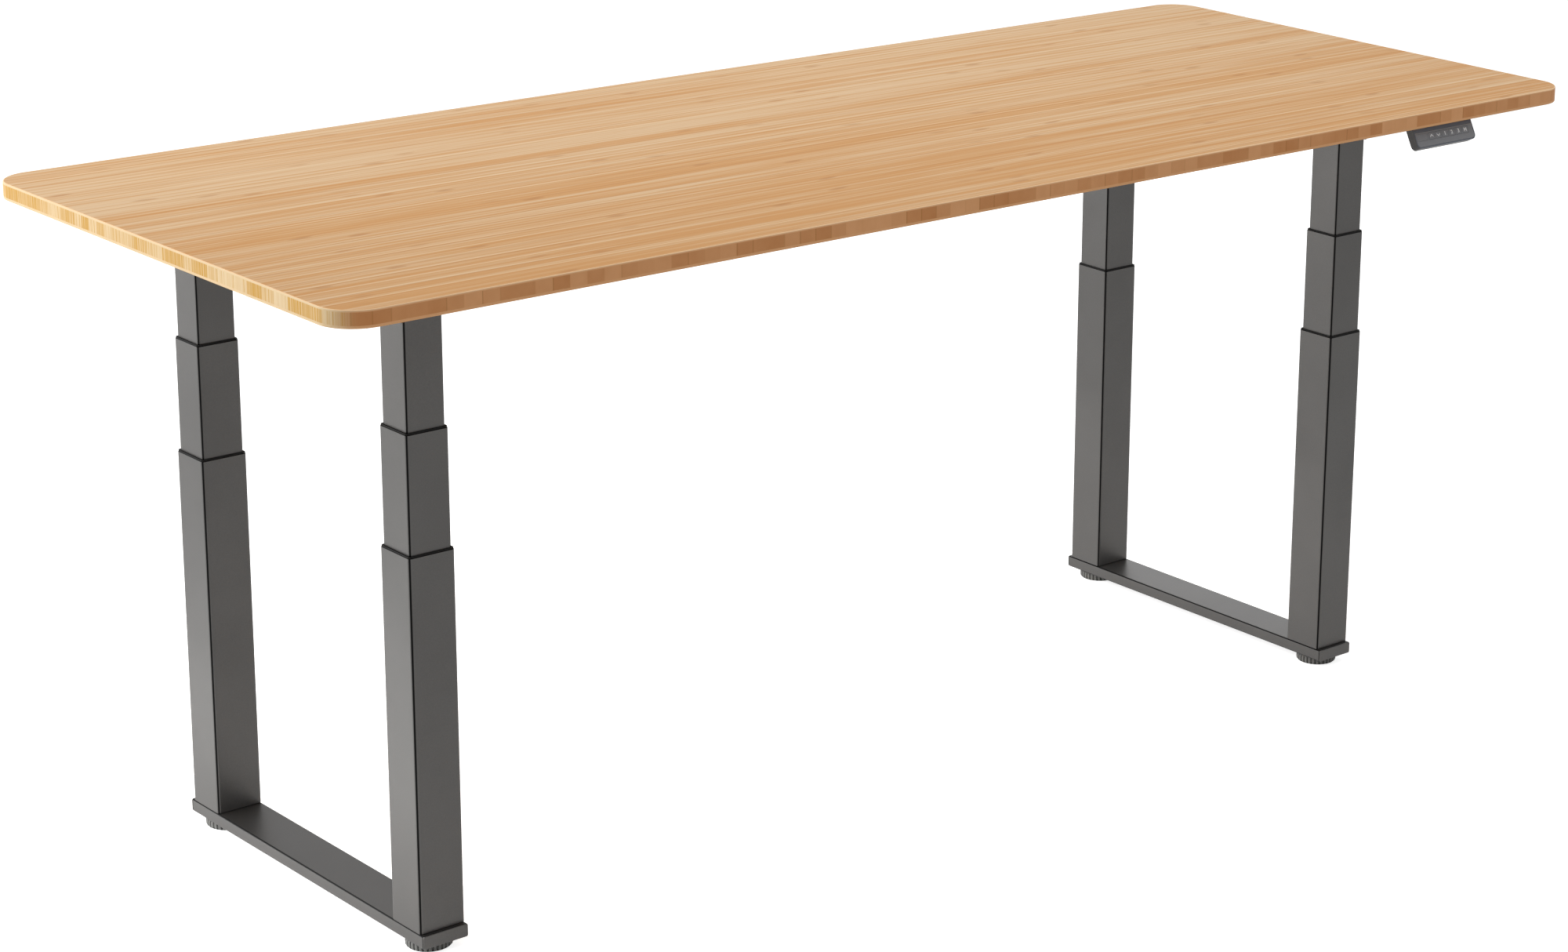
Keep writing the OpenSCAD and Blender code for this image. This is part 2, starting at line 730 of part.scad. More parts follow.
module control_box_lid() {
    color(C_BLACK) translate([0, box_y, under_z - lid_t]) difference() {
        translate([-box_l / 2 - box_tab, -box_w / 2, 0])
            cube([box_l + 2 * box_tab, box_w, lid_t]);
        for (s = SIDES, t = SIDES) translate([s * tab_screw_x, t * tab_screw_dy, -eps])
            cylinder(d = wood_screw_d + 2 * hole_gap, h = lid_t + 2 * eps);
    }
}

// The power board, with its transformer and heat sink
module control_board() {
    end_gap = 1;
    part_gap = 2;
    transformer = [56, 44];
    heat_sink = [50, 12];
    left = socket_depth + box_wall + end_gap - box_l / 2;
    right = box_l / 2 - inlet_depth - box_wall - end_gap;
    deep = box_w - 2 * board_margin + post_d;
    part_h = box_h - lid_t - box_wall - post_h - part_gap;
    color(C_BOARD) translate([0, box_y, box_floor + box_wall + post_h]) union() {
        translate([left, -deep / 2, 0]) cube([right - left, deep, board_t]);
        translate([0, -transformer[1] / 2, 0]) cube([transformer[0], transformer[1], part_h]);
        translate([left + heat_sink[0] / 2, -deep / 2, 0])
            cube([heat_sink[0], heat_sink[1], part_h]);
    }
}

// ---- Keypad ----

// Children leaned with the keypad's face and placed at the front edge
module lean() {
    translate([pad_x, pad_y, under_z]) rotate([-pad_lean, 0, 0]) children();
}

// A plate drawn on the face, from depth y to y + t, with round lower corners
module face_slab(w, top, bottom, r, y, t) {
    translate([0, y + t, 0]) rotate([90, 0, 0]) linear_extrude(t) {
        translate([-w / 2, bottom + r]) square([w, top - bottom - r]);
        translate([r - w / 2, bottom]) square([w - 2 * r, r]);
        for (s = SIDES) translate([s * (w / 2 - r), bottom + r]) circle(r);
    }
}

module keypad_housing() {
    color(C_BLACK) difference() {
        union() {
            // the leaned body, cut off level at the desktop's underside
            intersection() {
                lean() face_slab(pad_w, pad_t, -pad_l, pad_r, 0, pad_t);
                translate([pad_x - pad_w, pad_y - pad_w, under_z - pad_w])
                    cube([2 * pad_w, 2 * pad_w, pad_w]);
            }
            translate([pad_x - tongue_w / 2, pad_y + tongue_t, under_z - tongue_t])
                cube([tongue_w, tongue_l - tongue_t, tongue_t]);
        }
        lean() face_slab(face_w, -pad_strip, pad_rim - pad_l, pad_r - pad_rim, -eps, face_t + eps);
        lean() face_slab(face_w - 2 * pocket_wall, -pad_strip - pocket_wall,
            pad_rim + pocket_wall - pad_l, pad_r - pad_rim - pocket_wall, -eps, pocket_depth + eps);
        for (s = SIDES)
            translate([pad_x + s * tongue_screw_x, tongue_screw_y, under_z - tongue_t - eps])
                cylinder(d = wood_screw_d + 2 * hole_gap, h = tongue_t + 2 * eps);
    }
}

// A box on the face, middle at x and z, from depth y to y + t
module face_box(x, z, w, h, y, t) {
    translate([x - w / 2, y, z - h / 2]) cube([w, t, h]);
}

module keypad_face() {
    color(C_GREY) lean() difference() {
        face_slab(face_w - 2 * face_gap, -pad_strip - face_gap, pad_rim + face_gap - pad_l,
            pad_r - pad_rim - face_gap, 0, face_t);
        for (i = KEYS) face_box(key_start + i * key_pitch, key_z,
            key_w + 2 * key_gap, key_h + 2 * key_gap, -eps, face_t + 2 * eps);
        face_box(window_x, key_z, window_w + 2 * face_gap, window_h + 2 * face_gap,
            -eps, face_t + 2 * eps);
    }
}

module keypad_window() {
    color(C_BLACK) lean() face_box(window_x, key_z, window_w, window_h, 0, face_t);
}

// The keypad's board, with a switch under each key and the display behind the window
module keypad_board() {
    board_gap = 0.5;
    display_in = 1;
    margin = pocket_wall + board_gap;
    board_w = face_w - 2 * margin;
    board_top = -pad_strip - margin;
    board_low = pad_rim + margin - pad_l;
    corner = pad_r - pad_rim - margin;
    switch_w = 5;
    color(C_BOARD) lean() union() {
        face_slab(board_w, board_top, board_low, corner, board_y, board_t);
        for (i = KEYS) face_box(key_start + i * key_pitch, key_z, switch_w, switch_w,
            board_y - switch_h, switch_h + board_t / 2);
        face_box(window_x, key_z, window_w - 2 * display_in, window_h - 2 * display_in,
            face_t + face_gap, board_y - face_t - face_gap + board_t / 2);
    }
}

// One key: the cap in the face plate, the rim that holds it in, and its stem
module key(i) {
    rim_y = face_t + key_seat;
    x = key_start + i * key_pitch;
    stem_w = 4;
    color(C_GREY) lean() union() {
        face_box(x, key_z, key_w, key_h, 0, rim_y + key_rim_t);
        face_box(x, key_z, key_w + 2 * key_rim, key_h + 2 * key_rim, rim_y, key_rim_t);
        face_box(x, key_z, stem_w, stem_w, 0, key_stem);
    }
}

foot_rail(-1);  // foot_rail_left
foot_rail(1);  // foot_rail_right
rail_end_caps();
glide_nuts();
glide(FRONT_LEFT);  // glide_front_left
glide(BACK_LEFT);  // glide_back_left
glide(FRONT_RIGHT);  // glide_front_right
glide(BACK_RIGHT);  // glide_back_right
outer_tube(FRONT_LEFT);  // outer_tube_front_left
outer_tube(BACK_LEFT);  // outer_tube_back_left
outer_tube(FRONT_RIGHT);  // outer_tube_front_right
outer_tube(BACK_RIGHT);  // outer_tube_back_right
outer_sleeves();
push_tubes();
base_nuts();
middle_tube(FRONT_LEFT);  // middle_tube_front_left
middle_tube(BACK_LEFT);  // middle_tube_back_left
middle_tube(FRONT_RIGHT);  // middle_tube_front_right
middle_tube(BACK_RIGHT);  // middle_tube_back_right
middle_sleeves();
middle_shoes();
carrier_tubes();
spindle_nuts();
screw_bushes();
hollow_screw(FRONT_LEFT);  // hollow_screw_front_left
hollow_screw(BACK_LEFT);  // hollow_screw_back_left
hollow_screw(FRONT_RIGHT);  // hollow_screw_front_right
hollow_screw(BACK_RIGHT);  // hollow_screw_back_right
spindle(FRONT_LEFT);  // spindle_front_left
spindle(BACK_LEFT);  // spindle_back_left
spindle(FRONT_RIGHT);  // spindle_front_right
spindle(BACK_RIGHT);  // spindle_back_right
inner_tube(FRONT_LEFT);  // inner_tube_front_left
inner_tube(BACK_LEFT);  // inner_tube_back_left
inner_tube(FRONT_RIGHT);  // inner_tube_front_right
inner_tube(BACK_RIGHT);  // inner_tube_back_right
inner_shoes();
gearbox_housings();
gearbox_lids();
drive_motors();
side_channel(-1);  // side_channel_left
side_channel(1);  // side_channel_right
crossbars();
crossbar_bolts();
desktop();
desktop_screws();
control_box();
control_box_lid();
control_board();
keypad_housing();
keypad_face();
keypad_board();
keypad_window();
key(0);  // key_up
key(1);  // key_down
key(2);  // key_preset_1
key(3);  // key_preset_2
key(4);  // key_preset_3
key(5);  // key_memory
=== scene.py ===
import math

import bmesh
import bpy
from mathutils import Matrix, Vector


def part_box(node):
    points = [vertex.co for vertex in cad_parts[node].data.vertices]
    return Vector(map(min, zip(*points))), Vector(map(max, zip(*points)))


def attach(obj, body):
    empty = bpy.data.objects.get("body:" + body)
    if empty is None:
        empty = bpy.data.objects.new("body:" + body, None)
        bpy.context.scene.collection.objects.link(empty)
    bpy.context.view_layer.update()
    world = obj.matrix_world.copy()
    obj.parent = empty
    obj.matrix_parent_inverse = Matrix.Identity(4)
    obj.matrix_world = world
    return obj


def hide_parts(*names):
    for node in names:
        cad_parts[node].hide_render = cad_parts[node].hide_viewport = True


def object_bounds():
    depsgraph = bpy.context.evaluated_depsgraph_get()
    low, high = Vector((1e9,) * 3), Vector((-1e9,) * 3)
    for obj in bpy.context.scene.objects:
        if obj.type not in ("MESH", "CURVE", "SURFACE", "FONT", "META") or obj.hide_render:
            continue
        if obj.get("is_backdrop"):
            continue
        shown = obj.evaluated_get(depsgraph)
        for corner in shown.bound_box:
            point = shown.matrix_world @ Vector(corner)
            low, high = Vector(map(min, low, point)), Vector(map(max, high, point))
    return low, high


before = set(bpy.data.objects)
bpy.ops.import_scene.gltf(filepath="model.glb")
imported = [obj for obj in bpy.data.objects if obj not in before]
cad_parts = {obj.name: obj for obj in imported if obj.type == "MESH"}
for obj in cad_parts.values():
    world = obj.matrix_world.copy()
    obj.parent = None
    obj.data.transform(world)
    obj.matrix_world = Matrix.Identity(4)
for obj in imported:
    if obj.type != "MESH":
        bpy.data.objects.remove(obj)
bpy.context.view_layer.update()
COLUMNS = ("front_left", "back_left", "front_right", "back_right")


# ---- Levelling glides ----
# A grey nylon foot, moulded on a zinc-plated M8 stud that turns in a nut in the foot rail.
# The flutes round its rim give the fingers a hold when the desk is levelled.

class Wire:
    """A node's socket that Python's own signs add, multiply and divide."""

    def __init__(self, tree, socket=None):
        self.tree = tree
        self.socket = socket

    def node(self, kind, settings=None, values=None, out=0):
        """Add a node: its settings first, then the values and wires of its sockets."""
        made = self.tree.nodes.new(kind)
        for name, setting in (settings or {}).items():
            setattr(made, name, setting)
        for name, value in (values or {}).items():
            if isinstance(value, Wire):
                self.tree.links.new(value.socket, made.inputs[name])
            else:
                made.inputs[name].default_value = value
        return Wire(self.tree, made.outputs[out])

    def sum(self, operation, *values):
        return self.node("ShaderNodeMath", {"operation": operation}, dict(enumerate(values)))

    def __add__(self, other):
        return self.sum("ADD", self, other)

    def __radd__(self, other):
        return self.sum("ADD", other, self)

    def __sub__(self, other):
        return self.sum("SUBTRACT", self, other)

    def __rsub__(self, other):
        return self.sum("SUBTRACT", other, self)

    def __mul__(self, other):
        return self.sum("MULTIPLY", self, other)

    def __rmul__(self, other):
        return self.sum("MULTIPLY", other, self)

    def __truediv__(self, other):
        return self.sum("DIVIDE", self, other)

    def __pow__(self, other):
        return self.sum("POWER", self, other)

    def __abs__(self):
        return self.sum("ABSOLUTE", self)

    def floor(self):
        return self.sum("FLOOR", self)

    def fract(self):
        return self.sum("FRACT", self)

    def ramp(self, start, end):
        """0 up to start and 1 from end, with soft ends."""
        places = {"Value": self, "From Min": start, "From Max": end}
        return self.node("ShaderNodeMapRange", {"interpolation_type": "SMOOTHSTEP"}, places)

    def axes(self):
        parts = self.node("ShaderNodeSeparateXYZ", None, {0: self}).socket.node
        return [Wire(self.tree, socket) for socket in parts.outputs]

    def stretched(self, scale):
        return self.node("ShaderNodeVectorMath", {"operation": "MULTIPLY"}, {0: self, 1: scale})

    def noise(self, scale, detail=2.0, rough=0.5):
        """Soft noise between 0 and 1, with its own scale along each axis."""
        places = {"Vector": self.stretched(scale), "Scale": 1.0}
        places.update({"Detail": detail, "Roughness": rough})
        return self.node("ShaderNodeTexNoise", None, places)

    def chance(self):
        """A fixed random number between 0 and 1 for each value of a number."""
        return self.node("ShaderNodeTexWhiteNoise", {"noise_dimensions": "1D"}, {"W": self})

    def between(self, low, high):
        """The colour low at 0 and high at 1."""
        places = {0: self, 6: low, 7: high}
        return self.node("ShaderNodeMix", {"data_type": "RGBA"}, places, out=2)

    def grain(self, strength, distance):
        """This height as a bump on the surface."""
        places = {"Strength": strength, "Distance": distance, "Height": self}
        return self.node("ShaderNodeBump", None, places)


def paint(red, green, blue):
    """A colour written in 0 to 255, as the shader wants it."""
    parts = [part / 255 for part in (red, green, blue)]
    return [p / 12.92 if p < 0.04045 else ((p + 0.055) / 1.055) ** 2.4 for p in parts] + [1.0]


def new_finish(name, wired, **fixed):
    """A material: fixed numbers on the shader's own sockets, and what wired() hands back."""
    material = bpy.data.materials.new(name)
    material.use_nodes = True
    tree = material.node_tree
    shader = tree.nodes["Principled BSDF"]
    for socket, value in fixed.items():
        shader.inputs[socket.replace("_", " ")].default_value = value
    place = Wire(tree).node("ShaderNodeTexCoord", None, None, "Object")
    for socket, wire in wired(place).items():
        tree.links.new(wire.socket, shader.inputs[socket])
    return material


def make(name, bm, finish, crease=35):
    """A bmesh as a named object at the origin, faces outward, smooth up to the crease angle."""
    bmesh.ops.recalc_face_normals(bm, faces=bm.faces)
    for face in bm.faces:
        face.smooth = True
    mesh = bpy.data.meshes.new(name)
    bm.to_mesh(mesh)
    bm.free()
    mesh.materials.append(finish)
    mesh.set_sharp_from_angle(angle=math.radians(crease))
    piece = bpy.data.objects.new(name, mesh)
    bpy.context.scene.collection.objects.link(piece)
    return piece


def skin(bm, rings, ends="cap"):
    """Faces between rings of points; the ends are capped, or the last ring joins the first."""
    loops = [[bm.verts.new(point) for point in ring] for ring in rings]
    pairs = list(zip(loops, loops[1:]))
    if ends == "join":
        pairs.append((loops[-1], loops[0]))
    for low, high in pairs:
        for i in range(len(low)):
            j = (i + 1) % len(low)
            bm.faces.new((low[i], low[j], high[j], high[i]))
    if ends == "cap":
        bm.faces.new(reversed(loops[0]))
        bm.faces.new(loops[-1])


def turned(bm, centre, profile, steps):
    """A shape turned on the Z axis at centre from (radius, height) pairs, bottom to top."""
    rings = []
    for radius, height in profile:
        angles = [math.tau * step / steps for step in range(steps)]
        rings.append([(centre.x + radius * math.cos(a), centre.y + radius * math.sin(a), height)
                      for a in angles])
    skin(bm, rings)


def geometry_tree(name, inputs):
    """An empty geometry tree with named inputs; hands back the tree and a wire of each input."""
    tree = bpy.data.node_groups.new(name, "GeometryNodeTree")
    tree.interface.new_socket("Geometry", in_out="OUTPUT", socket_type="NodeSocketGeometry")
    for label, kind in {"Geometry": "NodeSocketGeometry", **inputs}.items():
        tree.interface.new_socket(label, in_out="INPUT", socket_type=kind)
    given = tree.nodes.new("NodeGroupInput")
    return tree, {label: Wire(tree, given.outputs[label]) for label in ["Geometry", *inputs]}


def close_tree(tree, shape, finish):
    """Instances made real and given their material, which ends every geometry tree."""
    real = shape.node("GeometryNodeRealizeInstances", None, {0: shape})
    dressed = shape.node("GeometryNodeSetMaterial", None, {"Geometry": real, "Material": finish})
    tree.links.new(dressed.socket, tree.nodes.new("NodeGroupOutput").inputs[0])


def settle(piece, tree, **values):
    """Run a tree on a piece with these inputs and keep the result as its plain mesh."""
    modifier = piece.modifiers.new(tree.name, "NODES")
    modifier.node_group = tree
    for item in tree.interface.items_tree:
        if item.in_out == "INPUT" and item.name in values:
            modifier[item.identifier] = values[item.name]
    shown = piece.evaluated_get(bpy.context.evaluated_depsgraph_get())
    piece.data = bpy.data.meshes.new_from_object(shown)
    piece.modifiers.remove(modifier)


def moulded(place):
    speckle = place.noise((900, 900, 900), 3)
    cloud = place.noise((40, 40, 40))
    tone = (speckle * 0.7 + cloud * 0.3).between(paint(8, 8, 8), paint(18, 18, 18))
    return {"Base Color": tone, "Roughness": speckle * 0.15 + 0.5,
            "Normal": speckle.grain(0.25, 0.0002)}


def filled(place):
    """Grey glass-filled nylon, with near-black painted shade in the depth of the flutes."""
    speckle = place.noise((900, 900, 900), 3)
    tone = speckle.between(paint(102, 102, 100), paint(130, 130, 128))
    groove = place.node("ShaderNodeAttribute", {"attribute_name": "groove"}, None, "Fac")
    return {"Base Color": groove.ramp(0.2, 0.55).between(tone, paint(4, 4, 4)),
            "Roughness": speckle * 0.15 + 0.45, "Normal": speckle.grain(0.2, 0.0002)}


def plated(place):
    drawn = place.noise((300, 300, 30))
    return {"Base Color": drawn.between(paint(158, 160, 163), paint(182, 184, 187)),
            "Roughness": drawn * 0.18 + 0.3}


zinc_steel = new_finish("zinc_steel", plated, Metallic=1.0)
black_nylon = new_finish("black_nylon", moulded, Specular_IOR_Level=0.12)
fluted_nylon = new_finish("fluted_nylon", filled, Specular_IOR_Level=0.15)


def flute_tree():
    """Presses flutes into the rim of a turned foot."""
    numbers = dict.fromkeys(("Flutes", "Depth", "Middle X", "Middle Y", "Rim"), "NodeSocketFloat")
    tree, given = geometry_tree("Flutes", {**numbers, "Material": "NodeSocketMaterial"})
    body = given["Geometry"]
    x, y, z = body.node("GeometryNodeInputPosition").axes()
    dx = x - given["Middle X"]
    dy = y - given["Middle Y"]
    reach = (dx * dx + dy * dy) ** 0.5
    angle = dy.sum("ARCTAN2", dy, dx)
    around = angle * given["Flutes"]
    wave = around.sum("COSINE", around)
    near_rim = reach.ramp(given["Rim"] * 0.9, given["Rim"] * 0.985)
    off_floor = z.ramp(0.0008, 0.0028)
    # the flute's depth, kept on each point as well so that the finish paints shade in the flutes
    groove = (0.5 - wave * 0.5) ** 3.0 * near_rim
    shrink = groove * given["Depth"] * off_floor / reach
    move = dx.node("ShaderNodeCombineXYZ", None, {0: 0 - dx * shrink, 1: 0 - dy * shrink})
    fluted = body.node("GeometryNodeSetPosition", None, {"Geometry": body, "Offset": move})
    marked = body.node("GeometryNodeStoreNamedAttribute", {"data_type": "FLOAT", "domain": "POINT"},
                       {"Geometry": fluted, "Name": "groove", "Value": groove})
    close_tree(tree, marked, given["Material"])
    return tree


STUD = 0.004
STUD_TIP = 0.0033
FOOT_TOP = 0.0115
flutes = flute_tree()
for corner in COLUMNS:
    low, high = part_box("glide_" + corner)
    axis = (low + high) / 2
    rim = (high.x - low.x) / 2
    bm = bmesh.new()
    # the sole, the rim with its two round edges, and the top in to the stud
    foot = [(STUD, 0.0), (rim - 0.004, 0.0), (rim - 0.0016, 0.0003), (rim - 0.0003, 0.0016)]
    foot += [(rim, 0.003), (rim, 0.0055), (rim, 0.008), (rim - 0.0004, 0.0097)]
    foot += [(rim - 0.0016, 0.011), (rim - 0.0034, FOOT_TOP), (0.015, FOOT_TOP), (STUD, FOOT_TOP)]
    turned(bm, axis, foot, 360)
    glide = make("levelling_foot_" + corner, bm, fluted_nylon)
    settle(glide, flutes, Flutes=30.0, Depth=0.0021, Rim=rim, Material=fluted_nylon,
           **{"Middle X": axis.x, "Middle Y": axis.y})
    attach(glide, "glide_" + corner)
    bm = bmesh.new()
    rod = [(STUD_TIP, FOOT_TOP - 0.0005), (STUD, FOOT_TOP + 0.0001)]
    rod += [(STUD, high.z - 0.0008), (STUD_TIP, high.z)]
    turned(bm, axis, rod, 32)
    stud = make("levelling_stud_" + corner, bm, zinc_steel)
    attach(stud, "glide_" + corner)
    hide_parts("glide_" + corner)


# ---- Foot rails and their end caps ----
# Each rail is a flat steel tube, powder coated, that both columns of one side are welded on.
# A cap of the same colour is pressed into each open end, up to a thin seam.

def on_corner(across, along, half_x, half_y, radius, spread):
    """1 within spread degrees of the middle of a round corner, 0 on the flats."""
    out_x = abs(across) - (half_x - radius)
    out_y = abs(along) - (half_y - radius)
    if min(out_x, out_y) < radius * 0.01:
        return 0.0
    return 1.0 if abs(math.degrees(math.atan2(out_y, out_x)) - 45) < spread else 0.0


def mark_painted_shade(piece, value):
    """Write where painted shade goes, as a number from 0 to 1 on each point."""
    layer = piece.data.attributes.new("rim", "FLOAT", "POINT")
    for point, vertex in zip(layer.data, piece.data.vertices):
        point.value = value(vertex.co)


def round_outline(half_x, half_y, radius, steps):
    """Points of a rectangle with round corners about (0, 0), anticlockwise."""
    points = []
    for turn, (side_x, side_y) in enumerate(((1, 1), (-1, 1), (-1, -1), (1, -1))):
        for step in range(steps + 1):
            angle = math.pi / 2 * (turn + step / steps)
            points.append((side_x * (half_x - radius) + radius * math.cos(angle),
                           side_y * (half_y - radius) + radius * math.sin(angle)))
    return points


def even_light(piece):
    """Flat faces shade flat, and the narrow round edges between them take up the turn."""
    piece.modifiers.new("Even light", "WEIGHTED_NORMAL").keep_sharp = True


COAT_LIGHT = paint(83, 82, 81)
COAT_DARK = paint(77, 76, 75)
# near-black painted shade for cut ends, sheet edges and cap seams, and a painted dark reflection
# along round corners
COAT_PAINTED_SHADE = paint(3, 3, 3)


def powder(place):
    """Satin metallic powder coat: fine orange peel, a faint mottle, and near-black painted shade
    and painted reflection where the rim attribute marks it.
    """
    peel = place.noise((650, 650, 650), 3, 0.55)
    mottle = place.noise((9, 9, 9), 3)
    tone = (peel * 0.5 + mottle * 0.5).ramp(0.3, 0.7).between(COAT_DARK, COAT_LIGHT)
    rim = place.node("ShaderNodeAttribute", {"attribute_name": "rim"}, None, "Fac")
    return {"Base Color": rim.between(tone, COAT_PAINTED_SHADE), "Roughness": peel * 0.1 + 0.35,
            "Normal": peel.grain(0.1, 0.0002)}


powder_coat = new_finish("powder_coat", powder, Metallic=0.8, Specular_IOR_Level=0.2)


def flat_tube(name, low, high, wall, radius, along):
    """A steel tube with round corners between two box corners, its axis along Y or Z."""
    middle = (low + high) / 2
    across = (high - low) / 2
    half_y = across.z if along == "y" else across.y

    def ring(inset, way):
        round_by = max(radius - inset, 0.0004)
        outline = round_outline(across.x - inset, half_y - inset, round_by, 8)
        if along == "y":
            return [(middle.x + a, way, middle.z + b) for a, b in outline]
        return [(middle.x + a, middle.y + b, way) for a, b in outline]

    start, end = (low.y, high.y) if along == "y" else (low.z, high.z)
    ease = 0.0006
    clean = ease + 0.0003
    bm = bmesh.new()
    skin(bm, [ring(ease, start), ring(0, start + ease), ring(0, start + clean),
              ring(0, end - clean), ring(0, end - ease), ring(ease, end),
              ring(wall, end), ring(wall, start)], "join")
    tube = make(name, bm, powder_coat, 50)
    spread = 24 if along == "y" else 13

    def dark(point):
        """Near-black painted shade round the cut ends, and a painted dark reflection along the
        corners, wider on the flat rail.
        """
        way = point.y if along == "y" else point.z
        if min(way - start, end - way) < ease * 1.1:
            return 1.0
        side = point.z - middle.z if along == "y" else point.y - middle.y
        return on_corner(point.x - middle.x, side, across.x, half_y, radius, spread)

    mark_painted_shade(tube, dark)
    even_light(tube)
    return tube


TUBE_WALL = 0.0016
for side in ("left", "right"):
    low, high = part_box("foot_rail_" + side)
    rail = flat_tube("rail_" + side, low, high, TUBE_WALL, 0.002, "y")
    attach(rail, "base")
    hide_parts("foot_rail_" + side)

CAP_CORNER = 0.0024
PLUG_IN = 0.0019
cap_low, cap_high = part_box("rail_end_caps")
rail_low, rail_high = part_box("foot_rail_left")
rail_middle = (rail_low + rail_high) / 2
rail_half = (rail_high - rail_low) / 2
bm = bmesh.new()
for side in (-1, 1):
    for face_y, end_y in ((cap_low.y, rail_low.y), (cap_high.y, rail_high.y)):
        inward = 1 if end_y > face_y else -1
        rings = []
        # (inset from the rail's outline, distance in from the cap's face)
        for inset, depth in ((0.0012, 0.0), (0.0004, 0.0003), (0.0, 0.0009),
                             (0.0, 0.0016), (0.0005, 0.0019), (PLUG_IN, 0.002),
                             (PLUG_IN, 0.013), (0.0024, 0.0135)):
            outline = round_outline(rail_half.x - inset, rail_half.z - inset,
                                    CAP_CORNER - min(inset, PLUG_IN), 8)
            rings.append([(a - side * rail_middle.x, face_y + inward * depth, rail_middle.z + b)
                          for a, b in outline])
        skin(bm, rings)


def painted_seam_shade(point):
    """1 in the seam between a cap's face and the rail's end, where shade is painted near-black."""
    depth = min(abs(point.y - cap_low.y), abs(point.y - cap_high.y))
    return 1.0 if 0.0017 < depth < 0.0025 else 0.0


caps = make("rail_caps", bm, powder_coat)
mark_painted_shade(caps, painted_seam_shade)
even_light(caps)
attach(caps, "base")
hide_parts("rail_end_caps")


# ---- Column tubes ----
# Three square steel tubes slide in one another in each column, all powder coated alike.
# The widest is welded on the foot rail, and the narrowest carries the motor and the desktop.

STAGES = (("outer_tube_", 0.004, "base"), ("middle_tube_", 0.0037, "middle_stages"),
          ("inner_tube_", 0.0034, "top"))
for stage, radius, body in STAGES:
    for corner in COLUMNS:
        low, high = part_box(stage + corner)
        name = stage.replace("_", "_column_", 1) + corner
        tube = flat_tube(name, low, high, TUBE_WALL, radius, "z")
        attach(tube, body)
        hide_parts(stage + corner)


# ---- Guide sleeves and shoes ----
# Black plastic sleeves in the tube mouths guide the next tube; their thin lip shows as a line.
# Pale nylon shoes round the lower ends of the sliding tubes run inside and never show.

def dress(node, finish):
    """Give a CAD part that keeps its own shape its finish."""
    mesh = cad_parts[node].data
    mesh.materials.clear()
    mesh.materials.append(finish)


def nylon(place):
    cloud = place.noise((120, 120, 120))
    return {"Base Color": cloud.between(paint(206, 203, 192), paint(220, 218, 208)),
            "Roughness": cloud * 0.1 + 0.4}


natural_nylon = new_finish("natural_nylon", nylon, Specular_IOR_Level=0.4)
for node in ("outer_sleeves", "middle_sleeves"):
    dress(node, black_nylon)
for node in ("middle_shoes", "inner_shoes", "base_nuts", "spindle_nuts"):
    dress(node, natural_nylon)


# ---- Lead screws and what turns them ----
# In each column a hollow screw runs in a nut on the foot, with a second screw inside it.
# They are turned steel with rolled threads; the bushes and worm wheels are bronze.

THREAD_PITCH = 0.004


def screw_steel(place):
    """Bright steel with the thread as a bump that repeats at every pitch."""
    turn = (place.axes()[2] / THREAD_PITCH).fract()
    brushed = place.noise((60, 60, 900))
    return {"Base Color": brushed.between(paint(150, 150, 152), paint(176, 176, 178)),
            "Roughness": brushed * 0.2 + 0.25, "Normal": abs(turn - 0.5).grain(0.6, 0.001)}


def bronze(place):
    cast = place.noise((400, 400, 400), 3)
    return {"Base Color": cast.between(paint(150, 112, 58), paint(182, 142, 80)),
            "Roughness": cast * 0.2 + 0.3}


threaded_steel = new_finish("threaded_steel", screw_steel, Metallic=1.0)
wheel_bronze = new_finish("wheel_bronze", bronze, Metallic=1.0)
for corner in COLUMNS:
    dress("hollow_screw_" + corner, threaded_steel)
    dress("spindle_" + corner, threaded_steel)
for node in ("push_tubes", "carrier_tubes", "glide_nuts"):
    dress(node, zinc_steel)
dress("screw_bushes", wheel_bronze)


# ---- Gearboxes and motors ----
# A die-cast gearbox closes the top of each column, with a black motor beside it in the channel.
# They show from below only, between the flanges of the side channel.

def eased_copy(name, node, finish, width, crease=35):
    """A CAD solid with its flat faces joined up and its edges broken, as a new piece."""
    bm = bmesh.new()
    bm.from_mesh(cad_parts[node].data)
    bmesh.ops.remove_doubles(bm, verts=bm.verts, dist=1e-6)
    bmesh.ops.dissolve_limit(bm, angle_limit=math.radians(0.5), verts=bm.verts, edges=bm.edges)
    piece = make(name, bm, finish, crease)
    ease = piece.modifiers.new("Broken edges", "BEVEL")
    ease.width = width
    ease.segments = 2
    ease.limit_method = "ANGLE"
    ease.angle_limit = math.radians(crease)
    ease.harden_normals = False
    even_light(piece)
    return piece


def cast(place):
    skin_noise = place.noise((500, 500, 500), 4)
    return {"Base Color": skin_noise.between(paint(120, 122, 124), paint(150, 152, 154)),
            "Roughness": skin_noise * 0.2 + 0.42, "Normal": skin_noise.grain(0.2, 0.0004)}


def enamel(place):
    speckle = place.noise((700, 700, 700), 2)
    return {"Base Color": speckle.between(paint(26, 26, 27), paint(38, 38, 39)),
            "Roughness": speckle * 0.12 + 0.36, "Normal": speckle.grain(0.12, 0.0002)}


die_cast = new_finish("die_cast", cast, Metallic=0.8)
black_enamel = new_finish("black_enamel", enamel, Specular_IOR_Level=0.5)
for name, node, finish, slot in (("gearboxes", "gearbox_housings", die_cast, "cast_alloy"),
                                 ("gearbox_covers", "gearbox_lids", die_cast, "cast_alloy"),
                                 ("motors", "drive_motors", black_enamel, "black_metal")):
    piece = eased_copy(name, node, finish, 0.0006)
    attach(piece, "top")
    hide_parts(node)


# ---- Side channels ----
# Each is 3 mm steel sheet bent to a channel that lies on the column heads, powder coated.
# Its outer flange hangs deeper than the inner one and has its lower corners cut off.

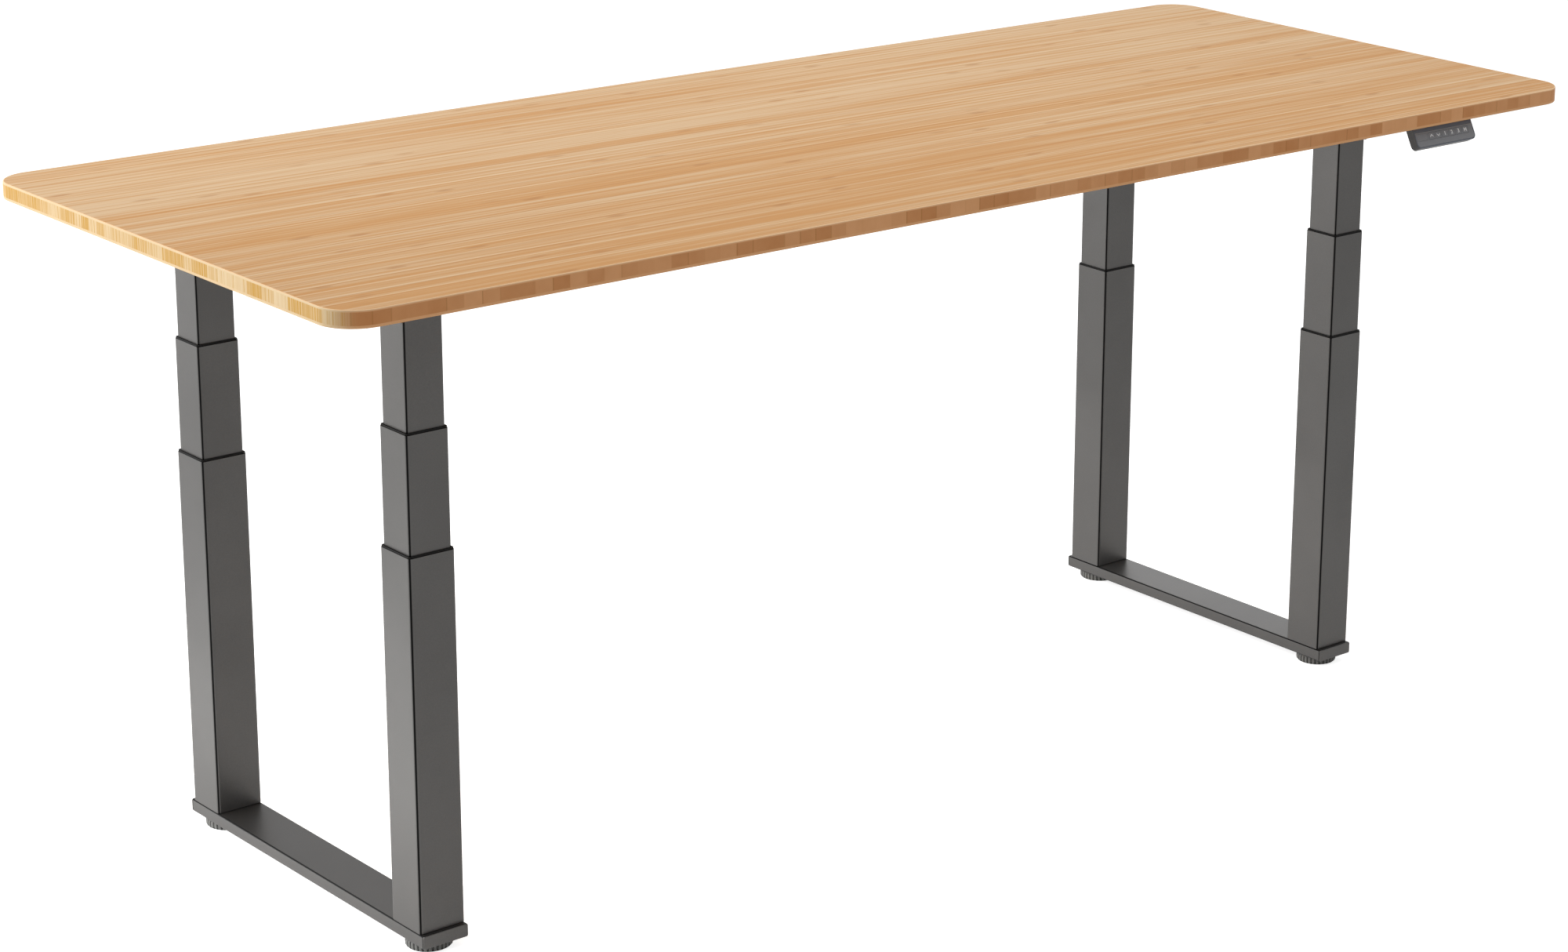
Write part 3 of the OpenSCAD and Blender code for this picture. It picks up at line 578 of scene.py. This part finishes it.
def channel(side, node):
    low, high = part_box(node)
    sheet = 0.003
    inner, outer = (low.x, high.x) if side > 0 else (-high.x, -low.x)
    deep = 0.062
    shallow = 0.044
    cut = 0.03
    bend = 0.0035
    top = high.z
    turns = [math.radians(22.5 * i) for i in range(5)]
    # the sheet's outside, from the foot of the inner flange over the top to the outer one
    path = [(inner, top - shallow), (inner, top - bend)]
    path += [(inner + bend - bend * math.cos(a), top - bend + bend * math.sin(a))
             for a in turns[1:]]
    path += [(outer - bend + bend * math.sin(a), top - bend + bend * math.cos(a)) for a in turns]
    path += [(outer, top - deep + cut), (outer, top - deep)]
    # the same line one sheet thickness further in
    room = bend - sheet
    inside = [(inner + sheet, top - shallow), (inner + sheet, top - bend)]
    inside += [(inner + bend - room * math.cos(a), top - bend + room * math.sin(a))
               for a in turns[1:]]
    inside += [(outer - bend + room * math.sin(a), top - bend + room * math.cos(a))
               for a in turns]
    inside += [(outer - sheet, top - deep + cut), (outer - sheet, top - deep)]
    bm = bmesh.new()
    grid = []
    for points in (path, inside):
        for end in (-1, 1):
            row = []
            for x, z in points:
                lost = max(0.0, top - deep + cut - z) if x > (inner + outer) / 2 else 0.0
                y = low.y + lost if end < 0 else high.y - lost
                row.append(bm.verts.new((side * x, y, z)))
            grid.append(row)
    out_front, out_back, in_front, in_back = grid
    # the cut sheet edges are marked for near-black painted shade
    edge = bm.faces.layers.float.new("rim")
    for i in range(len(path) - 1):
        bm.faces.new((out_front[i], out_front[i + 1], out_back[i + 1], out_back[i]))
        bm.faces.new((in_front[i], in_back[i], in_back[i + 1], in_front[i + 1]))
        bm.faces.new((out_front[i], in_front[i], in_front[i + 1], out_front[i + 1]))[edge] = 1.0
        bm.faces.new((out_back[i], out_back[i + 1], in_back[i + 1], in_back[i]))[edge] = 1.0
    for i in (0, -1):
        bm.faces.new((out_front[i], out_back[i], in_back[i], in_front[i]))[edge] = 1.0
    piece = make(node.replace("side_channel", "desk_channel"), bm, powder_coat)
    even_light(piece)
    return piece


for side, node in ((-1, "side_channel_left"), (1, "side_channel_right")):
    piece = channel(side, node)
    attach(piece, "top")
    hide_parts(node)


# ---- Crossbars and their bolts ----
# Two rectangular tubes with a welded plate at each end join the side channels.
# Two hexagon bolts at each bar's end run through its plate and the flange into nuts.

piece = eased_copy("crossbar_tubes", "crossbars", powder_coat, 0.0004)
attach(piece, "top")
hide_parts("crossbars")


def repeat_tree():
    """Puts one fastener on every point, turned by the point's own "turn" and spun at random."""
    tree, given = geometry_tree("Fasteners", {"Item": "NodeSocketObject", "Seed": "NodeSocketInt",
                                              "Material": "NodeSocketMaterial"})
    points = given["Geometry"]
    item = points.node("GeometryNodeObjectInfo", None, {"Object": given["Item"]}, "Geometry")
    turn = points.node("GeometryNodeInputNamedAttribute", {"data_type": "FLOAT_VECTOR"},
                       {"Name": "turn"})
    placed = points.node("GeometryNodeInstanceOnPoints", None,
                         {"Points": points, "Instance": item, "Rotation": turn})
    spin = points.node("FunctionNodeRandomValue", {"data_type": "FLOAT"},
                       {2: 0.0, 3: math.tau, "Seed": given["Seed"]}, 1)
    about = points.node("ShaderNodeCombineXYZ", None, {"Z": spin})
    spun = points.node("GeometryNodeRotateInstances", None,
                       {"Instances": placed, "Rotation": about})
    close_tree(tree, spun, given["Material"])
    return tree


fasteners = repeat_tree()


def repeated(name, item, places, finish, seed):
    """One piece made of a copy of item at each (place, turn)."""
    mesh = bpy.data.meshes.new(name)
    mesh.from_pydata([place for place, turn in places], [], [])
    turns = mesh.attributes.new("turn", "FLOAT_VECTOR", "POINT")
    for entry, (place, turn) in zip(turns.data, places):
        entry.vector = turn
    piece = bpy.data.objects.new(name, mesh)
    bpy.context.scene.collection.objects.link(piece)
    settle(piece, fasteners, Item=item, Seed=seed, Material=finish)
    bpy.data.objects.remove(item)
    return piece


def hexagon(bm, across, start, end, chamfer):
    """A hexagon bar along Z with its corners turned off at the far end."""
    reach = across / 2 / math.cos(math.radians(30))

    def ring(radius, height):
        return [(radius * math.cos(a), radius * math.sin(a), height)
                for a in (math.radians(60 * i) for i in range(6))]

    skin(bm, [ring(reach, start), ring(reach, end - chamfer), ring(reach - chamfer * 1.3, end)])


SPANNER = 0.0086
HEX_HIGH = 0.004
HEX_CHAMFER = 0.0006
GRIP = 0.006
FLANGE = 0.0049
SHANK = 0.003
ORIGIN = Vector((0, 0, 0))
bm = bmesh.new()
hexagon(bm, SPANNER, 0.0, -HEX_HIGH, -HEX_CHAMFER)
turned(bm, ORIGIN, [(FLANGE, -0.0006), (FLANGE, 0.0)], 24)
turned(bm, ORIGIN, [(SHANK, 0.0), (SHANK, 0.0104), (SHANK - 0.0004, 0.011)], 20)
hexagon(bm, SPANNER, GRIP, GRIP + HEX_HIGH, HEX_CHAMFER)
bolt = make("bolt", bm, zinc_steel)
PLATE_INNER = 0.702
BAR_IN = 0.035
BOLT_OFF = 0.028
bolt_low, bolt_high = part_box("crossbar_bolts")
bar_low, bar_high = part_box("crossbars")
places = []
for side in (-1, 1):
    for bar_y in (bar_low.y + BAR_IN, bar_high.y - BAR_IN):
        for off in (-BOLT_OFF, BOLT_OFF):
            turn = (0, side * math.pi / 2, 0)
            places.append(((side * PLATE_INNER, bar_y + off, (bolt_low.z + bolt_high.z) / 2), turn))
bolts = repeated("crossbar_bolt_set", bolt, places, zinc_steel, 4)
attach(bolts, "top")
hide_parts("crossbar_bolts")


# ---- Desktop ----
# Pressed bamboo in three layers: long strips on both faces and a core laid across them.
# The edges show the core's strips between two thin face layers, under a clear satin lacquer.

low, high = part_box("desktop")
CORNER = 0.045
EDGE_TOP = 0.0016
EDGE_LOW = 0.001
half = (high - low) / 2
bm = bmesh.new()
run_layer = bm.loops.layers.float.new("run")
steps = 28


def desk_ring(inset, height):
    outline = round_outline(half.x - inset, half.y - inset, CORNER - inset, steps)
    return [bm.verts.new((x, y, height)) for x, y in outline]


quarter = [math.radians(22.5 * i) for i in range(5)]
levels = [(EDGE_LOW - EDGE_LOW * math.sin(a), low.z + EDGE_LOW - EDGE_LOW * math.cos(a))
          for a in quarter]
levels += [(EDGE_TOP - EDGE_TOP * math.cos(a), high.z - EDGE_TOP + EDGE_TOP * math.sin(a))
           for a in quarter]
rings = [desk_ring(inset, height) for inset, height in levels]
base_line = round_outline(half.x, half.y, CORNER, steps)
run = [0.0]
for here, there in zip(base_line, base_line[1:] + base_line[:1]):
    run.append(run[-1] + math.dist(here, there))
for lower, upper in zip(rings, rings[1:]):
    for i in range(len(lower)):
        j = (i + 1) % len(lower)
        face = bm.faces.new((lower[i], lower[j], upper[j], upper[i]))
        for loop, along in zip(face.loops, (run[i], run[i + 1], run[i + 1], run[i])):
            loop[run_layer] = along
bm.faces.new(reversed(rings[0]))
bm.faces.new(rings[-1])

STRIP = 0.024
BLOCK = 0.022
CANE_JOINT = 0.3
FACE_DARK = paint(203, 147, 85)
FACE_LIGHT = paint(219, 186, 146)
FACE_MARK = paint(172, 112, 54)
FACE_PALE = paint(230, 200, 160)
END_DARK = paint(207, 156, 62)
END_LIGHT = paint(234, 209, 168)
END_PLY = paint(240, 214, 172)
LONG_DARK = paint(202, 134, 80)
LONG_LIGHT = paint(242, 182, 130)
LONG_PLY = paint(242, 184, 134)
# paler colours for the painted highlight on the round upper edge
LONG_ARRIS_HIGHLIGHT = paint(255, 214, 168)
END_ARRIS_HIGHLIGHT = paint(244, 222, 180)
CORE_TOP = high.z - 0.0022
CORE_LOW = low.z + 0.0032


def bamboo(place):
    """Strips of cane under a satin lacquer; the edges show how the board is laid up."""
    x, y, z = place.axes()
    # face layers: narrow strips as long as the desk, their fibres along it
    lane = y / STRIP + place.noise((0.5, 11, 1), 1) * 0.6
    row = lane.floor()
    within = lane.fract()
    by_strip = x.node("ShaderNodeCombineXYZ", None, {0: x, 1: row * 0.37, 2: 0.0})
    drift = by_strip.noise((1.3, 23, 1), 2)
    broad = place.noise((0.6, 9, 1), 2)
    streak = place.noise((1.5, 150, 1), 2, 0.6)
    fibre = place.noise((5, 420, 1), 3, 0.65)
    thread = (1 - abs(place.noise((0.45, 70, 6), 1) - 0.5) * 14).ramp(0.0, 1.0)
    tone = 0.55 + (row.chance() - 0.5) * 0.22 + (drift - 0.5) * 0.6 + (broad - 0.5) * 0.5 + y * 0.5
    tone = tone + (streak - 0.5) * 1.8 + (fibre - 0.5) * 1.5 - thread * drift * 0.5
    face = tone.ramp(0.0, 1.0).between(FACE_DARK, FACE_LIGHT)
    # a strip's seam: a thin dark glue line that comes and goes, and a pale line beside it
    glue = (1 - within).ramp(0.13, 0.0) * by_strip.noise((1.0, 31, 4), 1).ramp(0.4, 0.6)
    face = (glue * 0.5).between(face, FACE_MARK)
    beside = (1 - abs(within - 0.12) / 0.12).ramp(0.0, 1.0)
    pale = beside * by_strip.noise((0.9, 29, 9), 1).ramp(0.42, 0.62)
    face = (pale * 0.75).between(face, FACE_PALE)
    # the knuckles of the cane: a small brown smudge in each strip, where the joints came
    count = x / CANE_JOINT + row.chance() * 11
    seat = (row * 3.1 + count.floor() * 5.7).chance()
    off_x = (count.fract() - 0.5) * CANE_JOINT / 0.018 + (streak - 0.5) * 2
    off_y = (within - 0.2 - seat * 0.6) * STRIP / 0.005 + (fibre - 0.5) * 2
    smudge = (off_x * off_x + off_y * off_y).ramp(1.0, 0.0) * seat.ramp(0.1, 0.9)
    face = (smudge * 0.45).between(face, FACE_MARK)
    # edges: the core's blocks, even on the long sides and uneven at the ends
    along = place.node("ShaderNodeAttribute", {"attribute_name": "run"}, None, "Fac")
    cell = along / BLOCK
    block = cell.floor().chance()
    soft = place.noise((60, 60, 40), 2)
    seam = cell.fract().ramp(0.1, 0.0) * (cell.floor() + 40.5).chance().ramp(0.45, 0.75)
    long_tone = block * 0.65 + (soft - 0.5) * 0.35 + 0.2
    long_edge = long_tone.between(LONG_DARK, LONG_LIGHT)
    long_edge = (seam * 0.5).between(long_edge, FACE_MARK)
    cells = along.node("ShaderNodeTexVoronoi", {"voronoi_dimensions": "1D"},
                       {"W": along, "Scale": 62.0}, "Color").axes()[0]
    lines = along.node("ShaderNodeTexNoise", {"noise_dimensions": "1D"},
                       {"W": along, "Scale": 420.0, "Detail": 2.0})
    end_tone = cells * 0.6 + (lines - 0.5) * 1.5 + (soft - 0.5) * 0.2 + 0.22
    end_edge = end_tone.ramp(0.0, 1.0).between(END_DARK, END_LIGHT)
    facing = place.node("ShaderNodeTexCoord", None, None, "Normal").axes()
    at_end = abs(facing[0]).ramp(0.45, 0.98)
    core = at_end.between(long_edge, end_edge)
    plies = (fibre * 0.3).between(at_end.between(LONG_PLY, END_PLY), FACE_DARK)
    layers = z.ramp(CORE_LOW, CORE_LOW + 0.0004) * (1 - z.ramp(CORE_TOP - 0.0004, CORE_TOP))
    edge = layers.between(plies, core)
    colour = abs(facing[2]).ramp(0.35, 0.6).between(edge, face)
    # a painted highlight: the round upper edge is painted paler, as a bright line along it
    painted_highlight = z.ramp(high.z - EDGE_TOP, high.z - 0.0009) * (1 - facing[2].ramp(0.975, 0.999))
    colour = painted_highlight.between(colour, at_end.between(LONG_ARRIS_HIGHLIGHT, END_ARRIS_HIGHLIGHT))
    height = fibre * 0.7 + streak * 0.3
    return {"Base Color": colour, "Roughness": streak * 0.12 + 0.46,
            "Normal": height.grain(0.12, 0.0003)}


lacquered_bamboo = new_finish("lacquered_bamboo", bamboo, Specular_IOR_Level=0.1)
board = make("bamboo_board", bm, lacquered_bamboo)
even_light(board)
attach(board, "top")
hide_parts("desktop")


# ---- Wood screws under the desktop ----
# Pan-head screws hold the channels, the control box and the keypad to the underside.
# They are zinc-plated, with a cross recess, and stand at whatever angle they stopped.

HEAD = 0.0045
LONG, SHORT = 0.0021, 0.00055
bm = bmesh.new()
turned(bm, ORIGIN, [(0.0018, 0.014), (0.002, 0.0), (HEAD, 0.0), (HEAD, -0.0012),
                    (HEAD - 0.0009, -0.0021), (HEAD - 0.0022, -0.0025)], 28)
arm = [(-LONG, SHORT), (-SHORT, SHORT), (-SHORT, LONG)]
cross = []
for quarters in range(4):
    cross += arm
    arm = [(b, -a) for a, b in arm]
skin(bm, [[(a * 0.4, b * 0.4, -0.0026) for a, b in cross], [(a, b, -0.00252) for a, b in cross]])
screw = make("screw", bm, zinc_steel)
tab_low, tab_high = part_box("control_box_lid")
pad_low, pad_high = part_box("keypad_housing")
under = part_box("desktop")[0].z
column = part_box("inner_tube_front_right")
column_x = (column[0].x + column[1].x) / 2
channel_low, channel_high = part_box("side_channel_right")
pad_middle = (pad_low.x + pad_high.x) / 2
CHANNEL_SHEET, LID_SHEET, PAD_TONGUE = 0.003, 0.002, 0.004
CHANNEL_IN, TAB_IN, EDGE_IN = 0.015, 0.012, 0.008
BETWEEN_BARS = 0.06
PAD_HALF_PITCH = 0.0385
places = []
for side in (-1, 1):
    for y in (channel_low.y + CHANNEL_IN, BETWEEN_BARS, channel_high.y - CHANNEL_IN):
        places.append(((side * column_x, y, under - CHANNEL_SHEET), ORIGIN))
    for y in (tab_low.y + TAB_IN, tab_high.y - TAB_IN):
        places.append(((side * (tab_high.x - EDGE_IN), y, under - LID_SHEET), ORIGIN))
    pad_x = pad_middle + side * PAD_HALF_PITCH
    places.append(((pad_x, pad_high.y - EDGE_IN, under - PAD_TONGUE), ORIGIN))
screws = repeated("wood_screws", screw, places, zinc_steel, 11)
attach(screws, "top")
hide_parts("desktop_screws")


# ---- Control box ----
# A black moulded box under the desktop, with its board, the mains inlet and five sockets.
# Its lid is the plate that the box hangs from, screwed up through two tabs at each end.

for name, node in (("control_case", "control_box"), ("control_lid", "control_box_lid")):
    piece = eased_copy(name, node, black_nylon, 0.0007)
    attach(piece, "top")
    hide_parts(node)


def board_green(place):
    mask = place.noise((300, 300, 300))
    return {"Base Color": mask.between(paint(24, 78, 46), paint(36, 96, 60)),
            "Roughness": mask * 0.1 + 0.3}


circuit_green = new_finish("circuit_green", board_green, Specular_IOR_Level=0.5)
dress("control_board", circuit_green)
dress("keypad_board", circuit_green)


# ---- Keypad ----
# A moulded keypad leans out under the front edge: a grey plate in a dark housing.
# Two arrow keys, three numbered ones and one for the memory are flush in the plate.

LEAN = math.radians(27)


def pad_shell(place):
    speckle = place.noise((1100, 1100, 1100), 3)
    # painted light: the shell's forward faces are painted a lighter blue-grey than its other faces
    side = speckle.between(paint(30, 30, 31), paint(58, 58, 59))
    front = speckle.between(paint(96, 101, 112), paint(112, 117, 128))
    facing = place.node("ShaderNodeTexCoord", None, None, "Normal").axes()
    ahead = facing[2] * math.sin(LEAN) - facing[1] * math.cos(LEAN)
    return {"Base Color": ahead.ramp(0.9, 0.98).between(side, front),
            "Roughness": speckle * 0.15 + 0.45, "Normal": speckle.grain(0.2, 0.0002)}


def pad_plate(place):
    speckle = place.noise((1300, 1300, 1300), 3)
    return {"Base Color": speckle.between(paint(126, 127, 131), paint(146, 147, 151)),
            "Roughness": speckle * 0.15 + 0.45, "Normal": speckle.grain(0.15, 0.0002)}


def legend_white(place):
    ink = place.noise((700, 700, 700))
    return {"Base Color": ink.between(paint(248, 249, 250), paint(254, 254, 255)),
            "Roughness": ink * 0.1 + 0.5}


shell_plastic = new_finish("shell_plastic", pad_shell, Specular_IOR_Level=0.4)
plate_plastic = new_finish("plate_plastic", pad_plate, Specular_IOR_Level=0.4)
legend_ink = new_finish("legend_ink", legend_white, Specular_IOR_Level=0.3)
for name, node, finish, slot, width in (
        ("keypad_shell", "keypad_housing", shell_plastic, "black_plastic", 0.0008),
        ("keypad_plate", "keypad_face", plate_plastic, "keypad_grey", 0.00012),
        ("keypad_display", "keypad_window", plate_plastic, "display_window", 0.0001)):
    piece = eased_copy(name, node, finish, width)
    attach(piece, "top")
    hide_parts(node)

KEYS = ("up", "down", "preset_1", "preset_2", "preset_3", "memory")
NUMBERS = {"preset_1": "1", "preset_2": "2", "preset_3": "3"}
KEY_FIRST, KEY_STEP, KEY_DOWN = -0.025, 0.013, 0.016
PLATE_FRONT = -0.366
pad_matrix = Matrix.Translation((pad_middle, PLATE_FRONT, under)) @ Matrix.Rotation(-LEAN, 4, "X")


def stroked(key):
    """A chevron or the letter M as a thin flat shape in the plane of the plate."""
    if key == "memory":
        wide, tall, stroke = 0.0026, 0.0024, 0.0011
        half = [(-wide, -tall), (stroke - wide, -tall), (stroke - wide, tall * 0.15),
                (0, -tall * 0.55)]
        over = [(0, tall * 0.15), (stroke - wide, tall), (-wide, tall)]
        points = half + [(-x, z) for x, z in half[2::-1] + over[:0:-1]] + over
    else:
        wide, tall, stroke = 0.0029, 0.0019, 0.0011
        way = 1 if key == "up" else -1
        line = [(-wide, -tall), (0, tall - stroke), (wide, -tall), (wide, -tall + stroke * 1.4),
                (0, tall + stroke * 0.4), (-wide, -tall + stroke * 1.4)]
        points = [(x, way * z) for x, z in line]
    bm = bmesh.new()
    skin(bm, [[(x, -0.00006, z) for x, z in points], [(x, 0.0003, z) for x, z in points]])
    return bm


for number, key in enumerate(KEYS):
    node = "key_" + key
    cap = eased_copy("cap_" + key, node, plate_plastic, 0.0002)
    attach(cap, node)
    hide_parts(node)
    centre = Vector((KEY_FIRST + KEY_STEP * number, 0, -KEY_DOWN))
    if key in NUMBERS:
        text = bpy.data.curves.new("legend", "FONT")
        text.body = NUMBERS[key]
        text.size = 0.0068
        text.offset = 0.00022
        text.align_x = "CENTER"
        text.align_y = "CENTER"
        text.extrude = 0.0001
        drawn = bpy.data.objects.new("legend", text)
        bpy.context.scene.collection.objects.link(drawn)
        shown = drawn.evaluated_get(bpy.context.evaluated_depsgraph_get())
        mesh = bpy.data.meshes.new_from_object(shown)
        bpy.data.objects.remove(drawn)
        mesh.transform(Matrix.Rotation(math.pi / 2, 4, "X"))
        bm = bmesh.new()
        bm.from_mesh(mesh)
    else:
        bm = stroked(key)
    bmesh.ops.transform(bm, matrix=pad_matrix @ Matrix.Translation(centre), verts=bm.verts)
    legend = make("legend_" + key, bm, legend_ink)
    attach(legend, node)


# ---- Room, lamps and camera ----
# A white floor and a white room, with soft rectangular lamps: two at the back left, one
# at the back right and one overhead, and two small ones close above the floor, beside
# the frames. The floor keeps the desk's soft shadow.

def seen_rays(tree):
    """1 for what the camera, a reflection or a clear part sees, and 0 for all other rays."""
    path = tree.nodes.new("ShaderNodeLightPath")
    seen = Wire(tree, path.outputs["Is Camera Ray"])
    seen = seen.sum("MAXIMUM", seen, Wire(tree, path.outputs["Is Glossy Ray"]))
    return seen.sum("MAXIMUM", seen, Wire(tree, path.outputs["Is Transmission Ray"]))


floor_paint = bpy.data.materials.new("floor_paint")
floor_paint.use_nodes = True
tree = floor_paint.node_tree
tree.nodes.clear()
start = Wire(tree)
matt = start.node("ShaderNodeBsdfDiffuse", None, {"Color": paint(244, 244, 243)})
glow = start.node("ShaderNodeEmission", None, {"Color": (1, 1, 1, 1), "Strength": 0.78})
both = start.node("ShaderNodeAddShader", None, {0: matt, 1: glow})
seen = seen_rays(tree)
mixed = start.node("ShaderNodeMixShader", None, {0: seen, 1: matt, 2: both})
tree.links.new(mixed.socket, tree.nodes.new("ShaderNodeOutputMaterial").inputs[0])
bm = bmesh.new()
bmesh.ops.create_grid(bm, x_segments=1, y_segments=1, size=20)
floor = make("floor", bm, floor_paint)
floor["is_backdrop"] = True

world = bpy.data.worlds.new("room")
world.use_nodes = True
tree = world.node_tree
tree.nodes.clear()
start = Wire(tree)
seen = seen_rays(tree)
ROOM_LIGHT = 0.38
strength = seen * (1 - ROOM_LIGHT) + ROOM_LIGHT
sky = start.node("ShaderNodeBackground", None, {"Color": (1, 1, 1, 1), "Strength": strength})
tree.links.new(sky.socket, tree.nodes.new("ShaderNodeOutputWorld").inputs[0])
bpy.context.scene.world = world


def panel(name, place, aim, wide, tall, power):
    """A soft rectangular lamp at place, facing aim."""
    lamp = bpy.data.lights.new(name, "AREA")
    lamp.shape = "RECTANGLE"
    lamp.size = wide
    lamp.size_y = tall
    lamp.energy = power
    holder = bpy.data.objects.new(name, lamp)
    bpy.context.scene.collection.objects.link(holder)
    holder.location = place
    holder.rotation_mode = "QUATERNION"
    holder.rotation_quaternion = (Vector(aim) - Vector(place)).to_track_quat("-Z", "Y")


panel("far_panel", (-4.45, 4.1, 0.9), (-0.7, 0, 0.3), 2.2, 1.8, 102)
panel("left_panel", (-2.3, 1.5, 2.3), (-0.9, 0.4, 0.2), 2.4, 1.6, 32)
panel("low_panel", (-1.2, 0.25, 0.3), (-1.2, 0.251, 0), 0.5, 1.3, 6.5)
panel("inner_panel", (0.4, 0.3, 0.3), (0.4, 0.301, 0), 0.5, 1.3, 2.3)
panel("right_panel", (2.9, 2.4, 0.65), (0.6, 0, 0.2), 1.6, 0.6, 7)
panel("top_panel", (0.5, 0.3, 3.1), (0.3, 0.2, 0.8), 3.6, 2.6, 38)

camera = bpy.data.cameras.new("camera")
camera.sensor_width = 36
camera.lens = 83.77
camera.shift_x = -0.175
camera.shift_y = -0.0544
camera.clip_end = 100
holder = bpy.data.objects.new("camera", camera)
bpy.context.scene.collection.objects.link(holder)
CAMERA_PLACE = (-2.80673, -3.46843, 1.81135)
YAW, PITCH, ROLL = 0.7432, 0.2874, 0.0224
ahead = Vector((math.sin(YAW) * math.cos(PITCH), math.cos(YAW) * math.cos(PITCH), -math.sin(PITCH)))
right = Vector((math.cos(YAW), -math.sin(YAW), 0))
up = right.cross(ahead)
level_right = right * math.cos(ROLL) + up * math.sin(ROLL)
level_up = up * math.cos(ROLL) - right * math.sin(ROLL)
axes = Matrix((level_right, level_up, -ahead)).transposed().to_4x4()
holder.matrix_world = Matrix.Translation(CAMERA_PLACE) @ axes
bpy.context.scene.camera = holder
bpy.context.scene.view_settings.view_transform = "Standard"

low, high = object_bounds()
